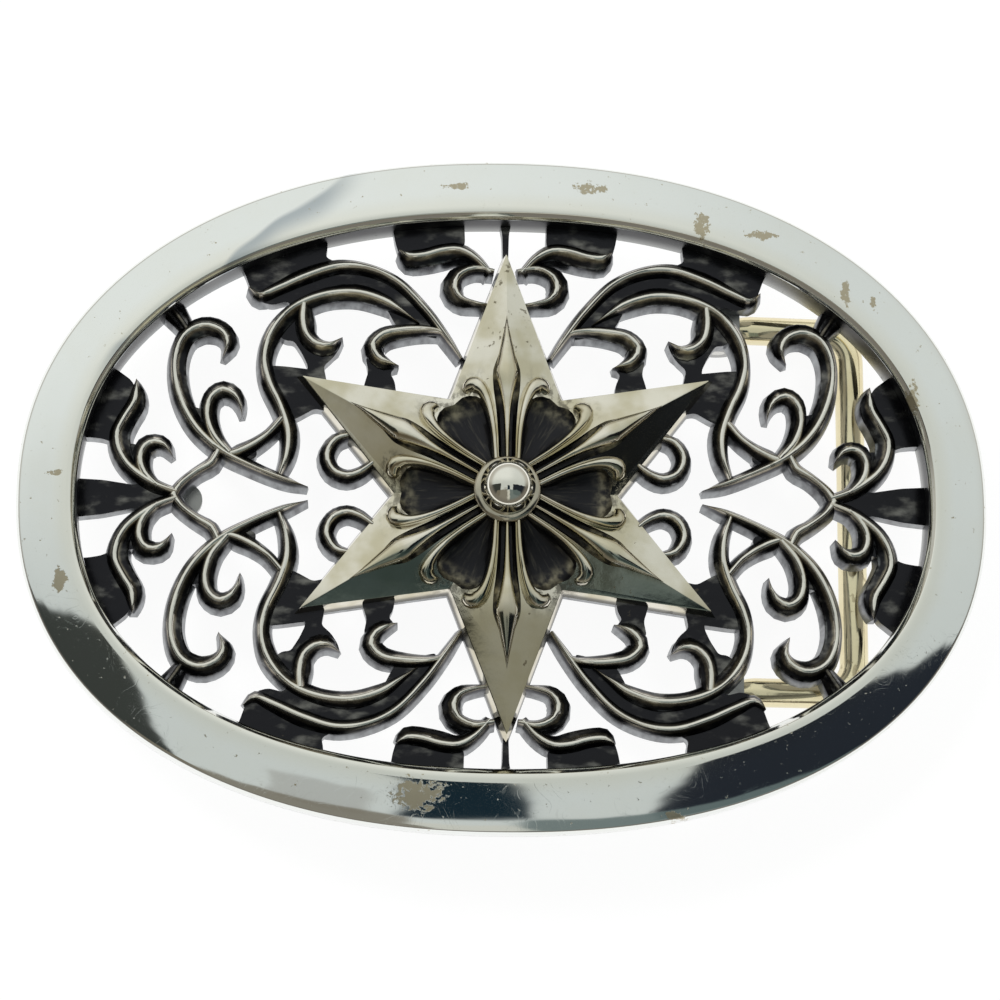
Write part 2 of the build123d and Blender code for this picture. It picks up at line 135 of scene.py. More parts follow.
def apply_modifier(piece, kind, **settings):
    """Adds one modifier with these settings and applies it."""
    make_active(piece)
    modifier = piece.modifiers.new(kind.lower(), kind)
    for name, value in settings.items():
        setattr(modifier, name, value)
    bpy.ops.object.modifier_apply(modifier=modifier.name)
    return piece


def combine(piece, other, operation="UNION", solver="MANIFOLD"):
    """Joins, cuts or trims a piece with another closed one, and removes the other."""
    apply_modifier(piece, "BOOLEAN", operation=operation, object=other, solver=solver)
    bpy.data.objects.remove(other)
    return piece


def select_where(piece, test):
    """In edit mode, selects the faces whose middle and normal pass a test."""
    bpy.ops.object.mode_set(mode="OBJECT")
    for face in piece.data.polygons:
        face.select = bool(test(face.center, face.normal))
    chosen = sum(face.select for face in piece.data.polygons)
    bpy.ops.object.mode_set(mode="EDIT")
    bpy.ops.mesh.select_mode(type="FACE")
    return chosen


def open_edges(piece):
    """How many edges don't join exactly two faces: none on a closed piece."""
    counts = {}
    for face in piece.data.polygons:
        for key in face.edge_keys:
            counts[key] = counts.get(key, 0) + 1
    return sum(count != 2 for count in counts.values())


def finish_piece(piece, body, material, stands_for=(), bent=False, crease=35.0, merge=0.002):
    """Bends and lifts a piece, shrinks it to metres, shades it, and hands it to its body."""
    edit(piece)
    if merge:
        bpy.ops.mesh.remove_doubles(threshold=merge)
    bpy.ops.mesh.normals_make_consistent(inside=False)
    bpy.ops.object.mode_set(mode="OBJECT")
    lay(piece, lambda x, y, z: Vector((x, y, z - (bend_drop(x) if bent else 0) + LIFT)) * MM)
    make_active(piece)
    bpy.ops.object.shade_smooth_by_angle(angle=radians(crease))
    if material:
        piece.data.materials.clear()
        piece.data.materials.append(material)
    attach(piece, body)
    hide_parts(*stands_for)
    triangles = sum(len(face.vertices) - 2 for face in piece.data.polygons)
    print(piece.name, "triangles", triangles, "open edges", open_edges(piece))
    return piece


# %% [markdown]
# ## The rim
#
# The rim is one cast and hand-polished band. Its face slopes down from a bevelled lip at the
# opening to a small round at the outer shoulder. It could be a profile curve swept round a path,
# but the opening and the outside are two different ovals. So a circle is extruded ring by ring,
# each new ring is laid on its own oval, and the last one meets the first.

# %% Extrude the rim ring by ring
RIM_HALF_LENGTH, RIM_HALF_WIDTH, RIM_SQUARENESS = 50.0, 35.0, 2.2
OPEN_HALF_LENGTH, OPEN_HALF_WIDTH, OPEN_SQUARENESS = 43.7, 28.5, 2.25
PANEL_BACK = -3.3


def oval_reach(angle, half_length, half_width, squareness):
    """Distance from the middle to an oval whose squareness of 2 would make it an ellipse."""
    return (abs(cos(angle) / half_length) ** squareness
            + abs(sin(angle) / half_width) ** squareness) ** (-1 / squareness)


def rim_point(angle, share, outward, height):
    """A point that is a share of the way from the opening to the outside, at a height."""
    inner = oval_reach(angle, OPEN_HALF_LENGTH, OPEN_HALF_WIDTH, OPEN_SQUARENESS)
    outer = oval_reach(angle, RIM_HALF_LENGTH, RIM_HALF_WIDTH, RIM_SQUARENESS)
    reach = inner + (outer - inner) * share + outward
    return Vector((reach * cos(angle), reach * sin(angle), height))


LIP, SHOULDER = (0.0, 0.72, 1.97), (1.0, -0.5, 0.68)    # ends of the sloping face
face_rings = []
for step in range(7):
    along = step / 6
    crown = 0.13 * 4 * along * (1 - along)
    face_rings.append(tuple(a + (b - a) * along for a, b in zip(LIP, SHOULDER))[:2]
                      + (LIP[2] + (SHOULDER[2] - LIP[2]) * along + crown,))
RIM_RINGS = [
    (0.0, 0.0, PANEL_BACK), (0.0, 0.0, -1.2), (0.0, 0.0, 0.9), (0.0, 0.02, 1.12), (0.0, 0.08, 1.26),
    (0.0, 0.34, 1.6), (0.0, 0.6, 1.88), (0.0, 0.65, 1.94), *face_rings,
    (1.0, -0.36, 0.62), (1.0, -0.2, 0.5), (1.0, -0.08, 0.34), (1.0, 0.0, 0.1), (1.0, 0.0, -0.9),
    (1.0, 0.0, -1.9), (1.0, -0.06, -2.06), (1.0, -0.2, -2.2), (0.7, 0.0, -2.53), (0.3, 0.0, -2.97),
    (0.0, 0.15, PANEL_BACK)]

deselect_all()
bpy.ops.mesh.primitive_circle_add(vertices=288, radius=RIM_HALF_LENGTH)
rim = name_new("rim_band")
lay(rim, lambda x, y, z: rim_point(atan2(y, x), *RIM_RINGS[0]))
edit(rim)
for ring in RIM_RINGS[1:]:
    bpy.ops.mesh.extrude_edges_move()
    lay(rim, lambda x, y, z: rim_point(atan2(y, x), *ring), selected_only=True)
    bpy.ops.object.mode_set(mode="EDIT")
bpy.ops.mesh.extrude_edges_move()
lay(rim, lambda x, y, z: rim_point(atan2(y, x), *RIM_RINGS[0]), selected_only=True)
print("rim rings", len(RIM_RINGS), "vertices", len(rim.data.vertices))


# %% [markdown]
# ## The scrolls
#
# A carved scroll has a narrow polished crest, flanks that hollow down to its edges, and steep
# walls. Each scroll here is a flat grid, extruded into a block and laid along a smooth line. Rows
# of the grid go along the scroll and its columns across it. The panel is the same in its four
# quarters, so only one is made. Each point is the place on the crest and the breadth of the flank
# on each side of it.

# %% The crest lines of one quarter, millimetres: x, y, breadth to the left, breadth to the right
SCROLLS = {
    "beak_scroll": [
        (20.2, 0.7, 0.05, 0.05), (22.6, 1.5, 0.5, 0.45), (26.0, 2.9, 0.7, 0.5), (29.3, 4.7, 0.9, 0.6),
        (31.9, 7.3, 1.0, 0.7), (33.5, 10.6, 1.1, 0.7), (34.0, 14.0, 1.2, 0.6), (33.1, 16.7, 1.2, 0.8),
        (31.2, 17.8, 1.2, 1.0), (29.4, 17.3, 0.9, 1.1), (28.6, 16.0, 0.5, 1.0), (29.1, 14.3, 0.05, 0.05)],
    "heart_curl": [
        (28.3, 4.3, 0.6, 0.6), (29.9, 6.2, 0.9, 0.7), (30.6, 8.4, 1.0, 0.6), (30.2, 10.2, 0.9, 0.9),
        (29.0, 11.0, 0.9, 1.0), (27.8, 10.4, 0.6, 0.9), (27.2, 9.3, 0.3, 0.5), (27.0, 8.2, 0.05, 0.05)],
    "rim_neck": [
        (32.4, 16.8, 0.6, 0.6), (33.4, 18.4, 1.0, 0.9), (35.6, 21.4, 1.7, 1.6)],
    "great_curl": [
        (23.1, 2.0, 0.4, 0.4), (22.4, 4.2, 0.8, 0.6), (22.3, 6.6, 1.0, 0.7), (23.1, 9.2, 0.9, 0.8),
        (24.3, 11.8, 0.8, 0.8), (24.8, 14.4, 0.9, 0.6), (24.0, 17.2, 1.1, 0.7), (21.9, 19.6, 1.1, 0.6),
        (18.9, 20.9, 0.9, 0.8), (15.6, 21.2, 0.9, 1.0), (12.7, 20.4, 0.8, 0.8), (10.6, 19.1, 0.4, 0.4),
        (8.9, 17.9, 0.1, 0.1)],
    "eye_curl": [
        (20.8, 20.0, 0.6, 0.8), (20.9, 18.3, 0.8, 1.2), (20.5, 16.7, 0.9, 1.0), (19.4, 15.7, 1.0, 0.8),
        (18.1, 15.6, 1.0, 0.5), (16.8, 16.4, 0.05, 0.05)],
    "outer_leaf": [
        (4.6, 14.2, 0.3, 0.3), (6.2, 16.6, 0.5, 0.5), (8.3, 19.4, 0.6, 0.6), (11.0, 22.2, 0.6, 0.7),
        (14.0, 23.7, 0.6, 0.8), (17.2, 24.0, 0.8, 0.8), (20.5, 23.0, 1.0, 0.8), (23.4, 21.7, 0.8, 0.7),
        (25.3, 21.0, 0.5, 0.7), (26.5, 21.8, 0.1, 0.2)],
    "leaf_point": [
        (6.3, 16.7, 0.3, 0.3), (7.0, 17.1, 0.4, 0.5), (8.6, 17.3, 0.6, 0.7), (10.7, 17.2, 0.7, 0.9),
        (12.6, 16.8, 0.8, 1.1), (13.7, 15.6, 0.9, 1.1), (13.2, 14.4, 0.9, 0.8), (12.2, 13.8, 0.8, 0.5),
        (11.0, 13.4, 0.05, 0.05)],
    "crown_wave": [
        (1.6, 23.3, 0.4, 0.6), (3.1, 24.9, 0.6, 0.7), (4.8, 25.8, 0.8, 1.0), (6.6, 25.7, 0.8, 1.3),
        (8.4, 25.2, 0.8, 1.2), (10.0, 25.1, 0.7, 1.1), (11.0, 25.7, 0.1, 0.3)],
    "crown_ring": [
        (1.2, 23.5, 0.4, 0.4), (3.3, 23.8, 0.6, 0.6), (4.9, 23.0, 1.1, 0.6), (5.3, 21.7, 1.2, 0.8),
        (4.6, 20.6, 0.9, 0.5), (3.2, 20.1, 0.5, 0.4), (1.8, 19.9, 0.3, 0.3)],
    "star_ring": [
        (15.6, 6.2, 0.4, 0.4), (17.4, 5.7, 0.7, 0.7), (18.3, 4.1, 0.8, 0.8), (17.7, 2.5, 0.8, 0.8),
        (16.2, 1.9, 0.8, 0.7), (14.7, 2.4, 0.7, 0.6), (13.6, 3.2, 0.5, 0.5)],
    "tail_ridge": [
        (37.9, 12.2, 0.1, 0.2), (37.9, 11.2, 0.5, 0.8), (38.1, 9.8, 0.8, 1.2), (39.0, 8.3, 0.8, 1.3),
        (39.8, 6.6, 0.8, 1.4), (39.6, 4.9, 0.8, 1.3), (38.7, 3.3, 0.8, 0.9), (37.2, 2.0, 0.8, 0.7),
        (35.5, 1.0, 0.8, 0.6),
        (33.6, 0.3, 0.5, 0.5)],
    "tail_curl": [
        (35.5, 0.9, 0.5, 0.5), (36.9, 2.3, 0.8, 0.7), (37.4, 3.9, 1.0, 0.8), (36.9, 5.2, 0.9, 1.0),
        (35.9, 5.6, 0.9, 0.9), (34.9, 5.2, 0.5, 0.8), (34.0, 4.0, 0.05, 0.05)],
    "knot_strut": [
        (34.2, -0.5, 0.8, 0.8), (33.2, 1.1, 0.7, 0.6), (31.6, 2.4, 0.6, 0.6), (30.0, 3.4, 0.7, 0.7),
        (29.4, 4.6, 0.6, 0.6)],
    "cross_strut": [
        (22.9, 7.9, 0.6, 0.6), (24.2, 6.4, 0.6, 0.6), (25.7, 5.3, 0.7, 0.7), (27.3, 4.5, 0.8, 0.9),
        (28.3, 4.2, 0.5, 0.5)],
}
print("scrolls in a quarter:", len(SCROLLS))


# %% Lay a grid along a smooth line
ROW_SPACING = 0.55          # between rows of a scroll
SCROLL_FOOT = -3.9          # scrolls reach this deep before the back is cut flat
WALL_DRAFT = 0.34           # the walls spread by this much from edge to foot
EDGE_DEPTH = -1.05          # edge of the flanks, where the steep walls begin
TIP_DIP = 0.55              # how far the crest comes down at a thin tip


def smooth_line(points, spacing=ROW_SPACING):
    """Points of a Catmull-Rom curve through given ones: position, then any other values."""
    ends = [tuple(2 * a - b for a, b in zip(points[0], points[1])),
            tuple(2 * a - b for a, b in zip(points[-1], points[-2]))]
    knots = [ends[0], *points, ends[1]]
    line = []
    for place in range(1, len(knots) - 2):
        p0, p1, p2, p3 = knots[place - 1:place + 3]
        steps = max(2, round(hypot(p2[0] - p1[0], p2[1] - p1[1]) / spacing))
        for step in range(steps + (place == len(knots) - 3)):
            t = step / steps
            line.append(tuple(
                0.5 * (2 * b + (c - a) * t + (2 * a - 5 * b + 4 * c - d) * t * t
                       + (3 * b - a - 3 * c + d) * t ** 3)
                for a, b, c, d in zip(p0, p1, p2, p3)))
    return line


def strip_along(name, line, columns, foot, spread):
    """A closed strip along a line. columns(row values) gives (across, height) from left to right."""
    rows, widths = len(line), len(columns(*line[0][2:]))
    deselect_all()
    bpy.ops.mesh.primitive_grid_add(x_subdivisions=rows - 1, y_subdivisions=widths - 1, size=2)
    bpy.ops.object.mode_set(mode="EDIT")
    bpy.ops.mesh.extrude_region_move(TRANSFORM_OT_translate={"value": (0, 0, -1)})
    strip = name_new(name)

    def place(u, v, level):
        row = round((u + 1) / 2 * (rows - 1))
        column = round((1 - v) / 2 * (widths - 1))
        before, after = line[max(row - 1, 0)], line[min(row + 1, rows - 1)]
        ahead = Vector((after[0] - before[0], after[1] - before[1])).normalized()
        across, height = columns(*line[row][2:])[column]
        if level < -0.5:
            across += spread if v > 0 else -spread if v < 0 else 0
            height = foot
        return Vector((line[row][0] - ahead.y * across, line[row][1] + ahead.x * across, height))

    lay(strip, place)
    return strip


def scroll_columns(left, right, lowered=0.0):
    """The cross-section of a scroll: a rounded crest and two hollow flanks."""
    left, right = max(left, 0.05), max(right, 0.05)
    dip = TIP_DIP * max(0.0, 1 - (left + right) / 0.9) + lowered
    crest = min(0.25, 0.36 * min(left, right))
    shape = []
    for side, breadth in ((1, left), (-1, right)):
        flank = [(side * breadth, EDGE_DEPTH), (side * breadth * 0.93, EDGE_DEPTH + 0.1),
                 (side * (0.55 * breadth + 0.7 * crest), -0.72), (side * 1.55 * crest, -0.42),
                 (side * 1.05 * crest, -0.16), (side * 0.55 * crest, -0.04)]
        shape += flank + [(0.0, 0.0)] if side > 0 else flank[::-1]
    return [(across, height - dip) for across, height in shape]


broad_section = [(round(across, 2), round(height, 2)) for across, height in scroll_columns(0.8, 0.8)]
print("a scroll 1.6 mm broad has this section:", broad_section)


# %% [markdown]
# ## The webs between the scrolls
#
# Between the scrolls lie flat hollows, sunk below the crests and left black. Their outlines are
# plates cut by hand, so each one starts as a flat many-sided face. Its corners are rounded, it is
# extruded, and its top edge is bevelled a little.

# %% Outlines of the webs in one quarter
WEBS = {
    "leaf_hollow": [
        (7.0, 16.4), (8.3, 19.4), (11.0, 22.2), (14.0, 23.7), (17.2, 24.0), (20.5, 23.0), (25.5, 21.3),
        (25.2, 20.3), (24.0, 20.0), (22.5, 20.4), (21.9, 19.6), (18.9, 20.9), (15.6, 21.2), (12.7, 20.4),
        (11.5, 18.1), (10.7, 17.1)],
    "leaf_block": [
        (18.4, 29.0), (18.4, 26.0), (18.6, 25.1), (16.8, 24.2), (20.5, 22.8), (25.2, 20.6), (26.3, 21.7),
        (26.9, 23.4), (29.0, 27.0)],
    "crown_block": [
        (4.3, 30.0), (4.2, 26.6), (4.6, 25.4), (8.0, 25.0), (10.2, 24.2), (10.9, 25.0), (11.4, 26.6),
        (12.0, 30.0)],
    "crown_spur": [(-0.3, 24.0), (0.25, 24.0), (0.35, 27.6), (0.8, 30.0), (-0.3, 30.0)],
    "tip_plate": [
        (17.6, 8.6), (19.6, 9.0), (21.2, 8.1), (22.4, 7.6), (24.3, 11.8), (24.4, 13.6), (22.8, 13.5),
        (19.6, 13.1), (18.6, 12.6)],
    "eye_foot": [
        (16.8, 16.3), (17.0, 15.5), (17.7, 14.4), (18.7, 13.5), (18.3, 11.5), (20.6, 11.5), (20.3, 13.5),
        (20.9, 14.8), (21.8, 16.2), (22.6, 16.2), (24.0, 17.2), (21.9, 19.6), (20.8, 19.0), (19.4, 15.8)],
    "point_foot": [
        (11.3, 13.3), (11.9, 12.8), (11.4, 11.9), (11.2, 10.4), (14.8, 10.4), (14.4, 12.0), (14.1, 12.9),
        (14.4, 14.4), (13.2, 15.0)],
    "heart_web": [(28.8, 4.6), (30.3, 9.2), (31.2, 9.1), (32.2, 9.4), (33.0, 9.0), (31.9, 7.3), (29.3, 4.7)],
    "strut_web": [(25.4, 4.0), (25.6, 5.3), (27.6, 4.6), (29.0, 4.8), (27.0, 3.3)],
    "tail_block": [
        (37.9, 11.3), (38.5, 12.3), (39.3, 12.9), (42.0, 15.0), (46.0, 6.3), (42.6, 6.3), (41.2, 6.1),
        (40.3, 5.7), (39.8, 6.6), (38.1, 9.8)],
    "tail_web": [(36.4, 1.6), (37.4, 3.9), (37.6, 5.4), (38.5, 5.6), (39.6, 4.9), (38.7, 3.3), (37.2, 2.0)],
    "end_block": [
        (33.4, -0.5), (33.4, 0.6), (35.5, 1.0), (37.0, 1.6), (37.9, 1.2), (39.5, 1.5), (41.2, 1.8),
        (46.0, 2.2), (46.0, -0.5)],
}


def plate_from(name, corners, top, foot, corner_round=0.0, edge_bevel=0.0):
    """A flat plate with this outline, its corners rounded and its top edge bevelled."""
    deselect_all()
    bpy.ops.mesh.primitive_circle_add(vertices=len(corners), radius=1, fill_type="NGON")
    plate = name_new(name)
    order = sorted(range(len(corners)),
                   key=lambda i: atan2(plate.data.vertices[i].co.y, plate.data.vertices[i].co.x) % (2 * pi))
    for place, index in enumerate(order):
        plate.data.vertices[index].co = Vector((*corners[place], top))
    edit(plate)
    if corner_round:
        bpy.ops.mesh.bevel(offset=corner_round, offset_type="OFFSET", segments=3, affect="VERTICES",
                           clamp_overlap=True)
        bpy.ops.mesh.select_all(action="SELECT")
        bpy.ops.mesh.remove_doubles(threshold=0.01)
    bpy.ops.mesh.select_all(action="SELECT")
    bpy.ops.mesh.extrude_region_move(TRANSFORM_OT_translate={"value": (0, 0, foot - top)})
    bpy.ops.mesh.select_all(action="SELECT")
    bpy.ops.mesh.normals_make_consistent(inside=False)
    if edge_bevel:
        select_where(plate, lambda middle, normal: normal.z > 0.9)
        bpy.ops.mesh.region_to_loop()
        bpy.ops.mesh.bevel(offset=edge_bevel, segments=2, affect="EDGES", clamp_overlap=True)
    bpy.ops.object.mode_set(mode="OBJECT")
    return plate


# %% Join the scrolls and webs of one quarter, mirror it, and trim it to the opening
WEB_TOP = -1.12
WEB_STEP = 0.03             # webs lie at slightly different heights, as cut by hand
LOWERED_CRESTS = {"rim_neck": 0.5, "cross_strut": 0.1, "knot_strut": 0.06, "star_ring": 0.1}
panel_parts = []
for name, points in SCROLLS.items():
    lowered = LOWERED_CRESTS.get(name, 0.0)
    panel_parts.append(strip_along(name, smooth_line(points),
                                   lambda left, right: scroll_columns(left, right, lowered),
                                   SCROLL_FOOT, WALL_DRAFT))
for place, (name, corners) in enumerate(WEBS.items()):
    panel_parts.append(plate_from(name, corners, WEB_TOP - WEB_STEP * (place % 4), SCROLL_FOOT, 0.35, 0.14))
panel = panel_parts[0]
for part in panel_parts:
    edit(part)
    bpy.ops.mesh.remove_doubles(threshold=0.001)
    bpy.ops.mesh.normals_make_consistent(inside=False)
deselect_all()
for part in panel_parts[1:]:
    combine(panel, part)
panel.name = panel.data.name = "scroll_openwork"
print("quarter faces", len(panel.data.polygons), "open edges", open_edges(panel))
apply_modifier(panel, "MIRROR", use_axis=(True, True, False), use_bisect_axis=(True, True, False),
               merge_threshold=0.0005, bisect_threshold=0.0001)     # larger ones open the seam
print("whole panel faces", len(panel.data.polygons), "open edges", open_edges(panel))


def oval_block(name, half_length, half_width, squareness, bottom, top, points=192):
    """A closed block with an oval outline."""
    deselect_all()
    bpy.ops.mesh.primitive_circle_add(vertices=points, radius=half_length, fill_type="NGON")
    block = name_new(name)

    def place(x, y, z):
        reach = oval_reach(atan2(y, x), half_length, half_width, squareness)
        return Vector((reach * cos(atan2(y, x)), reach * sin(atan2(y, x)), top))

    lay(block, place)
    edit(block)
    bpy.ops.mesh.extrude_region_move(TRANSFORM_OT_translate={"value": (0, 0, bottom - top)})
    bpy.ops.mesh.select_all(action="SELECT")
    bpy.ops.mesh.normals_make_consistent(inside=False)
    bpy.ops.object.mode_set(mode="OBJECT")
    return block


def cut_across(piece, spacing=6):
    """Splits the faces along lines this far apart, so that the piece can be bent."""
    edit(piece)
    bpy.ops.mesh.quads_convert_to_tris(quad_method="BEAUTY", ngon_method="BEAUTY")
    for cut in range(-42, 43, spacing):
        bpy.ops.mesh.select_all(action="SELECT")
        bpy.ops.mesh.bisect(plane_co=(cut, 0, 0), plane_no=(1, 0, 0))
    bpy.ops.object.mode_set(mode="OBJECT")
    return piece


PANEL_GAP = 0.02            # between the panel and the rim, where the solder is
opening = oval_block("opening", OPEN_HALF_LENGTH - PANEL_GAP, OPEN_HALF_WIDTH - PANEL_GAP, OPEN_SQUARENESS,
                     PANEL_BACK, 5.0)
combine(panel, cut_across(opening), "INTERSECT")
print("trimmed panel faces", len(panel.data.polygons), "open edges", open_edges(panel))


# %% The seat that the star stands on
STAR_TIP_UPRIGHT, STAR_TIP_SLANTED, STAR_CORNER = 25.0, 24.1, 11.4
STAR_SEAT = -2.1
STAR_FLARE, TIP_FLARE_SHARE = 0.5, 2.2      # how far the foot spreads, and the tips' larger share


def star_outline(growth=0.0):
    """The twelve corners of the star, tips and inward corners in turn."""
    corners = []
    for place in range(12):
        angle = radians(90 + 30 * place)
        tip = STAR_TIP_UPRIGHT if place % 6 == 0 else STAR_TIP_SLANTED
        reach = STAR_CORNER + growth if place % 2 else tip + TIP_FLARE_SHARE * growth
        corners.append((reach * cos(angle), reach * sin(angle)))
    return corners


combine(panel, cut_across(plate_from("star_seat", star_outline(STAR_FLARE), STAR_SEAT, PANEL_BACK)))
print("panel with its seat: faces", len(panel.data.polygons), "open edges", open_edges(panel))


# %% [markdown]
# ## Finishes
#
# Silver jewellery of this kind is dipped in a blackening bath and then polished, so the high
# places are bright and the deep ones stay dark. That needs two things in each material: where a
# point lies on the plate, and a few noises for polish marks and tarnish. They are built once, as
# node groups, from each piece's own Object coordinates.

# %% A bench for building node trees
class NodeBench:
    """Adds nodes to one tree; a value is either a number or colour, or another node's socket."""

    def __init__(self, tree):
        self.tree = tree
        tree.nodes.clear()

    def plug(self, value, socket):
        if isinstance(value, bpy.types.NodeSocket):
            self.tree.links.new(value, socket)
        else:
            socket.default_value = value

    def add(self, kind, *values, out=0, named=None, **settings):
        node = self.tree.nodes.new(kind if kind.startswith("Node") else "ShaderNode" + kind)
        for name, value in settings.items():
            setattr(node, name, value)
        for place, value in enumerate(values):
            self.plug(value, node.inputs[place])
        for name, value in (named or {}).items():
            self.plug(value, node.inputs[name])
        return node.outputs[out] if len(node.outputs) else node

    def math(self, operation, *values):
        return self.add("Math", *values, operation=operation)

    def times(self, first, second):
        return self.math("MULTIPLY", first, second)

    def plus(self, first, second):
        return self.math("ADD", first, second)

    def minus(self, first, second):
        return self.math("SUBTRACT", first, second)

    def split(self, place):
        """The X, Y and Z of a place or a direction."""
        node = self.tree.nodes.new("ShaderNodeSeparateXYZ")
        self.plug(place, node.inputs[0])
        return node.outputs

    def length(self, place):
        return self.add("VectorMath", place, operation="LENGTH", out=1)

    def ramp(self, value, low, high, to_low=0.0, to_high=1.0):
        """Rises smoothly between two values of the input."""
        return self.add("MapRange", value, low, high, to_low, to_high, interpolation_type="SMOOTHSTEP")

    def noise(self, place, scale, detail=3.0, roughness=0.5, distortion=0.0):
        return self.add("TexNoise", named={"Vector": place, "Scale": scale, "Detail": detail,
                                           "Roughness": roughness, "Distortion": distortion})

    def mix(self, share, first, second):
        node = self.tree.nodes.new("ShaderNodeMix")
        node.data_type = "RGBA"
        for value, place in ((share, 0), (first, 6), (second, 7)):
            self.plug(value, node.inputs[place])
        return node.outputs[2]

    def stretched(self, place, factors):
        return self.add("VectorMath", place, factors, operation="MULTIPLY")


def new_group(name, takes, gives):
    """An empty node group with these inputs and outputs, and the bench to fill it on."""
    tree = bpy.data.node_groups.new(name, "ShaderNodeTree")
    for socket_name, value in takes:
        socket = tree.interface.new_socket(name=socket_name, in_out="INPUT", socket_type="NodeSocketFloat")
        socket.default_value = value
    for socket_name, kind in gives:
        tree.interface.new_socket(name=socket_name, in_out="OUTPUT", socket_type="NodeSocket" + kind)
    return tree, NodeBench(tree)


# %% Where a point is on the plate: place in millimetres, height above the crests, steepness
PER_METRE = (1000, 1000, 1000)      # from metres to millimetres
FLAT = (1, 1, 0)                    # leaves the height out

place_group, bench = new_group("place_on_plate", [], [("Place", "Vector"), ("Height", "Float"),
                                                      ("Facing Up", "Float"), ("Facing Foot", "Float"),
                                                      ("Outward", "Float")])
coordinates = bench.tree.nodes.new("ShaderNodeTexCoord")
place_mm = bench.stretched(coordinates.outputs["Object"], PER_METRE)
place_x, _, place_z = bench.split(place_mm)
fallen = bench.math("DIVIDE", bench.times(place_x, place_x), 2 * BEND_RADIUS)
height = bench.minus(bench.plus(place_z, fallen), LIFT)
_, normal_y, normal_z = bench.split(coordinates.outputs["Normal"])
flat_place = bench.stretched(place_mm, FLAT)
spoke = bench.add("VectorMath", flat_place, operation="NORMALIZE")
outward = bench.add("VectorMath", spoke, coordinates.outputs["Normal"], operation="DOT_PRODUCT", out=1)
group_end = bench.add("NodeGroupOutput")
facing_foot = bench.times(normal_y, -1.0)
for value, socket in zip((place_mm, height, normal_z, facing_foot, outward), group_end.inputs):
    bench.plug(value, socket)
print("group:", place_group.name)


# %% Marks of the polishing cloth: fine scratches, soft ripples and small brown flecks
marks_group, bench = new_group(
    "polish_marks", [("Ripple Size", 9.0), ("Fleck Share", 0.3)],
    [("Ripples", "Float"), ("Scratches", "Float"), ("Flecks", "Float"), ("Bloom", "Float")])
group_start = bench.tree.nodes.new("NodeGroupInput")
coordinates = bench.tree.nodes.new("ShaderNodeTexCoord")
place_mm = bench.stretched(coordinates.outputs["Object"], PER_METRE)
ripple_scale = bench.math("DIVIDE", 1.0, group_start.outputs["Ripple Size"])
ripples = bench.noise(place_mm, ripple_scale, detail=1.5, roughness=0.4)
drift = bench.add("TexNoise", named={"Vector": place_mm, "Scale": 0.12}, out=1)
warped = bench.add("VectorMath", place_mm, drift, (9, 9, 9), operation="MULTIPLY_ADD")
scratch_layers = []
for turn, size in ((0.5, 3.2), (2.1, 2.4), (1.2, 4.0)):
    turned = bench.add("VectorRotate", named={"Vector": warped, "Axis": (0, 0, 1), "Angle": turn})
    streak = bench.noise(bench.stretched(turned, (0.09 * size, 2.6 * size, 0.5)), 1.0, detail=2.0)
    scratch_layers.append(bench.ramp(streak, 0.66, 0.74))
scratches = bench.math("MAXIMUM", bench.math("MAXIMUM", *scratch_layers[:2]), scratch_layers[2])
clusters = bench.ramp(bench.noise(place_mm, 0.07, detail=2.0), 0.54, 0.7)
specks = bench.noise(place_mm, 0.9, detail=5.0, roughness=0.62)
threshold = bench.minus(0.74, bench.times(clusters, group_start.outputs["Fleck Share"]))
flecks = bench.ramp(specks, threshold, bench.plus(threshold, 0.035))
bloom = bench.ramp(bench.noise(place_mm, 0.16, detail=4.0, roughness=0.6), 0.42, 0.72)
group_end = bench.add("NodeGroupOutput")
for value, socket in zip((ripples, scratches, flecks, bloom), group_end.inputs):
    bench.plug(value, socket)
print("group:", marks_group.name)


# %% Start a material with the two groups in it
def new_material(name, ripple_size=9.0, fleck_share=0.3):
    """A material with its bench and the outputs of both groups."""
    material = bpy.data.materials.new(name)
    material.use_nodes = True
    bench = NodeBench(material.node_tree)
    found = {}
    for tree in (place_group, marks_group):
        node = bench.tree.nodes.new("ShaderNodeGroup")
        node.node_tree = tree
        if tree == marks_group:
            node.inputs["Ripple Size"].default_value = ripple_size
            node.inputs["Fleck Share"].default_value = fleck_share
        found.update({socket.name: socket for socket in node.outputs})
    return material, bench, found


def close_material(bench, colour, roughness, bump=None, bump_depth=0.00002, metallic=1.0, **constants):
    """The shader itself: constant values go straight on its sockets."""
    shader = bench.tree.nodes.new("ShaderNodeBsdfPrincipled")
    bench.plug(colour, shader.inputs["Base Color"])
    bench.plug(roughness, shader.inputs["Roughness"])
    bench.plug(metallic, shader.inputs["Metallic"])
    for name, value in constants.items():
        shader.inputs[name.replace("_", " ")].default_value = value
    if bump is not None:
        normal = bench.add("Bump", named={"Strength": 1.0, "Distance": bump_depth, "Height": bump})
        bench.plug(normal, shader.inputs["Normal"])
    output = bench.tree.nodes.new("ShaderNodeOutputMaterial")
    bench.plug(shader.outputs[0], output.inputs[0])
    return shader, output


# %% Polished white silver for the rim
WHITE_SILVER = (0.86, 0.875, 0.85, 1)
IVORY_TARNISH = (0.78, 0.73, 0.58, 1)
BROWN_FLECK = (0.42, 0.35, 0.21, 1)
REFLECTED_WAVE_GREY = (0.38, 0.42, 0.45, 1)
PATINA = (0.022, 0.022, 0.025, 1)
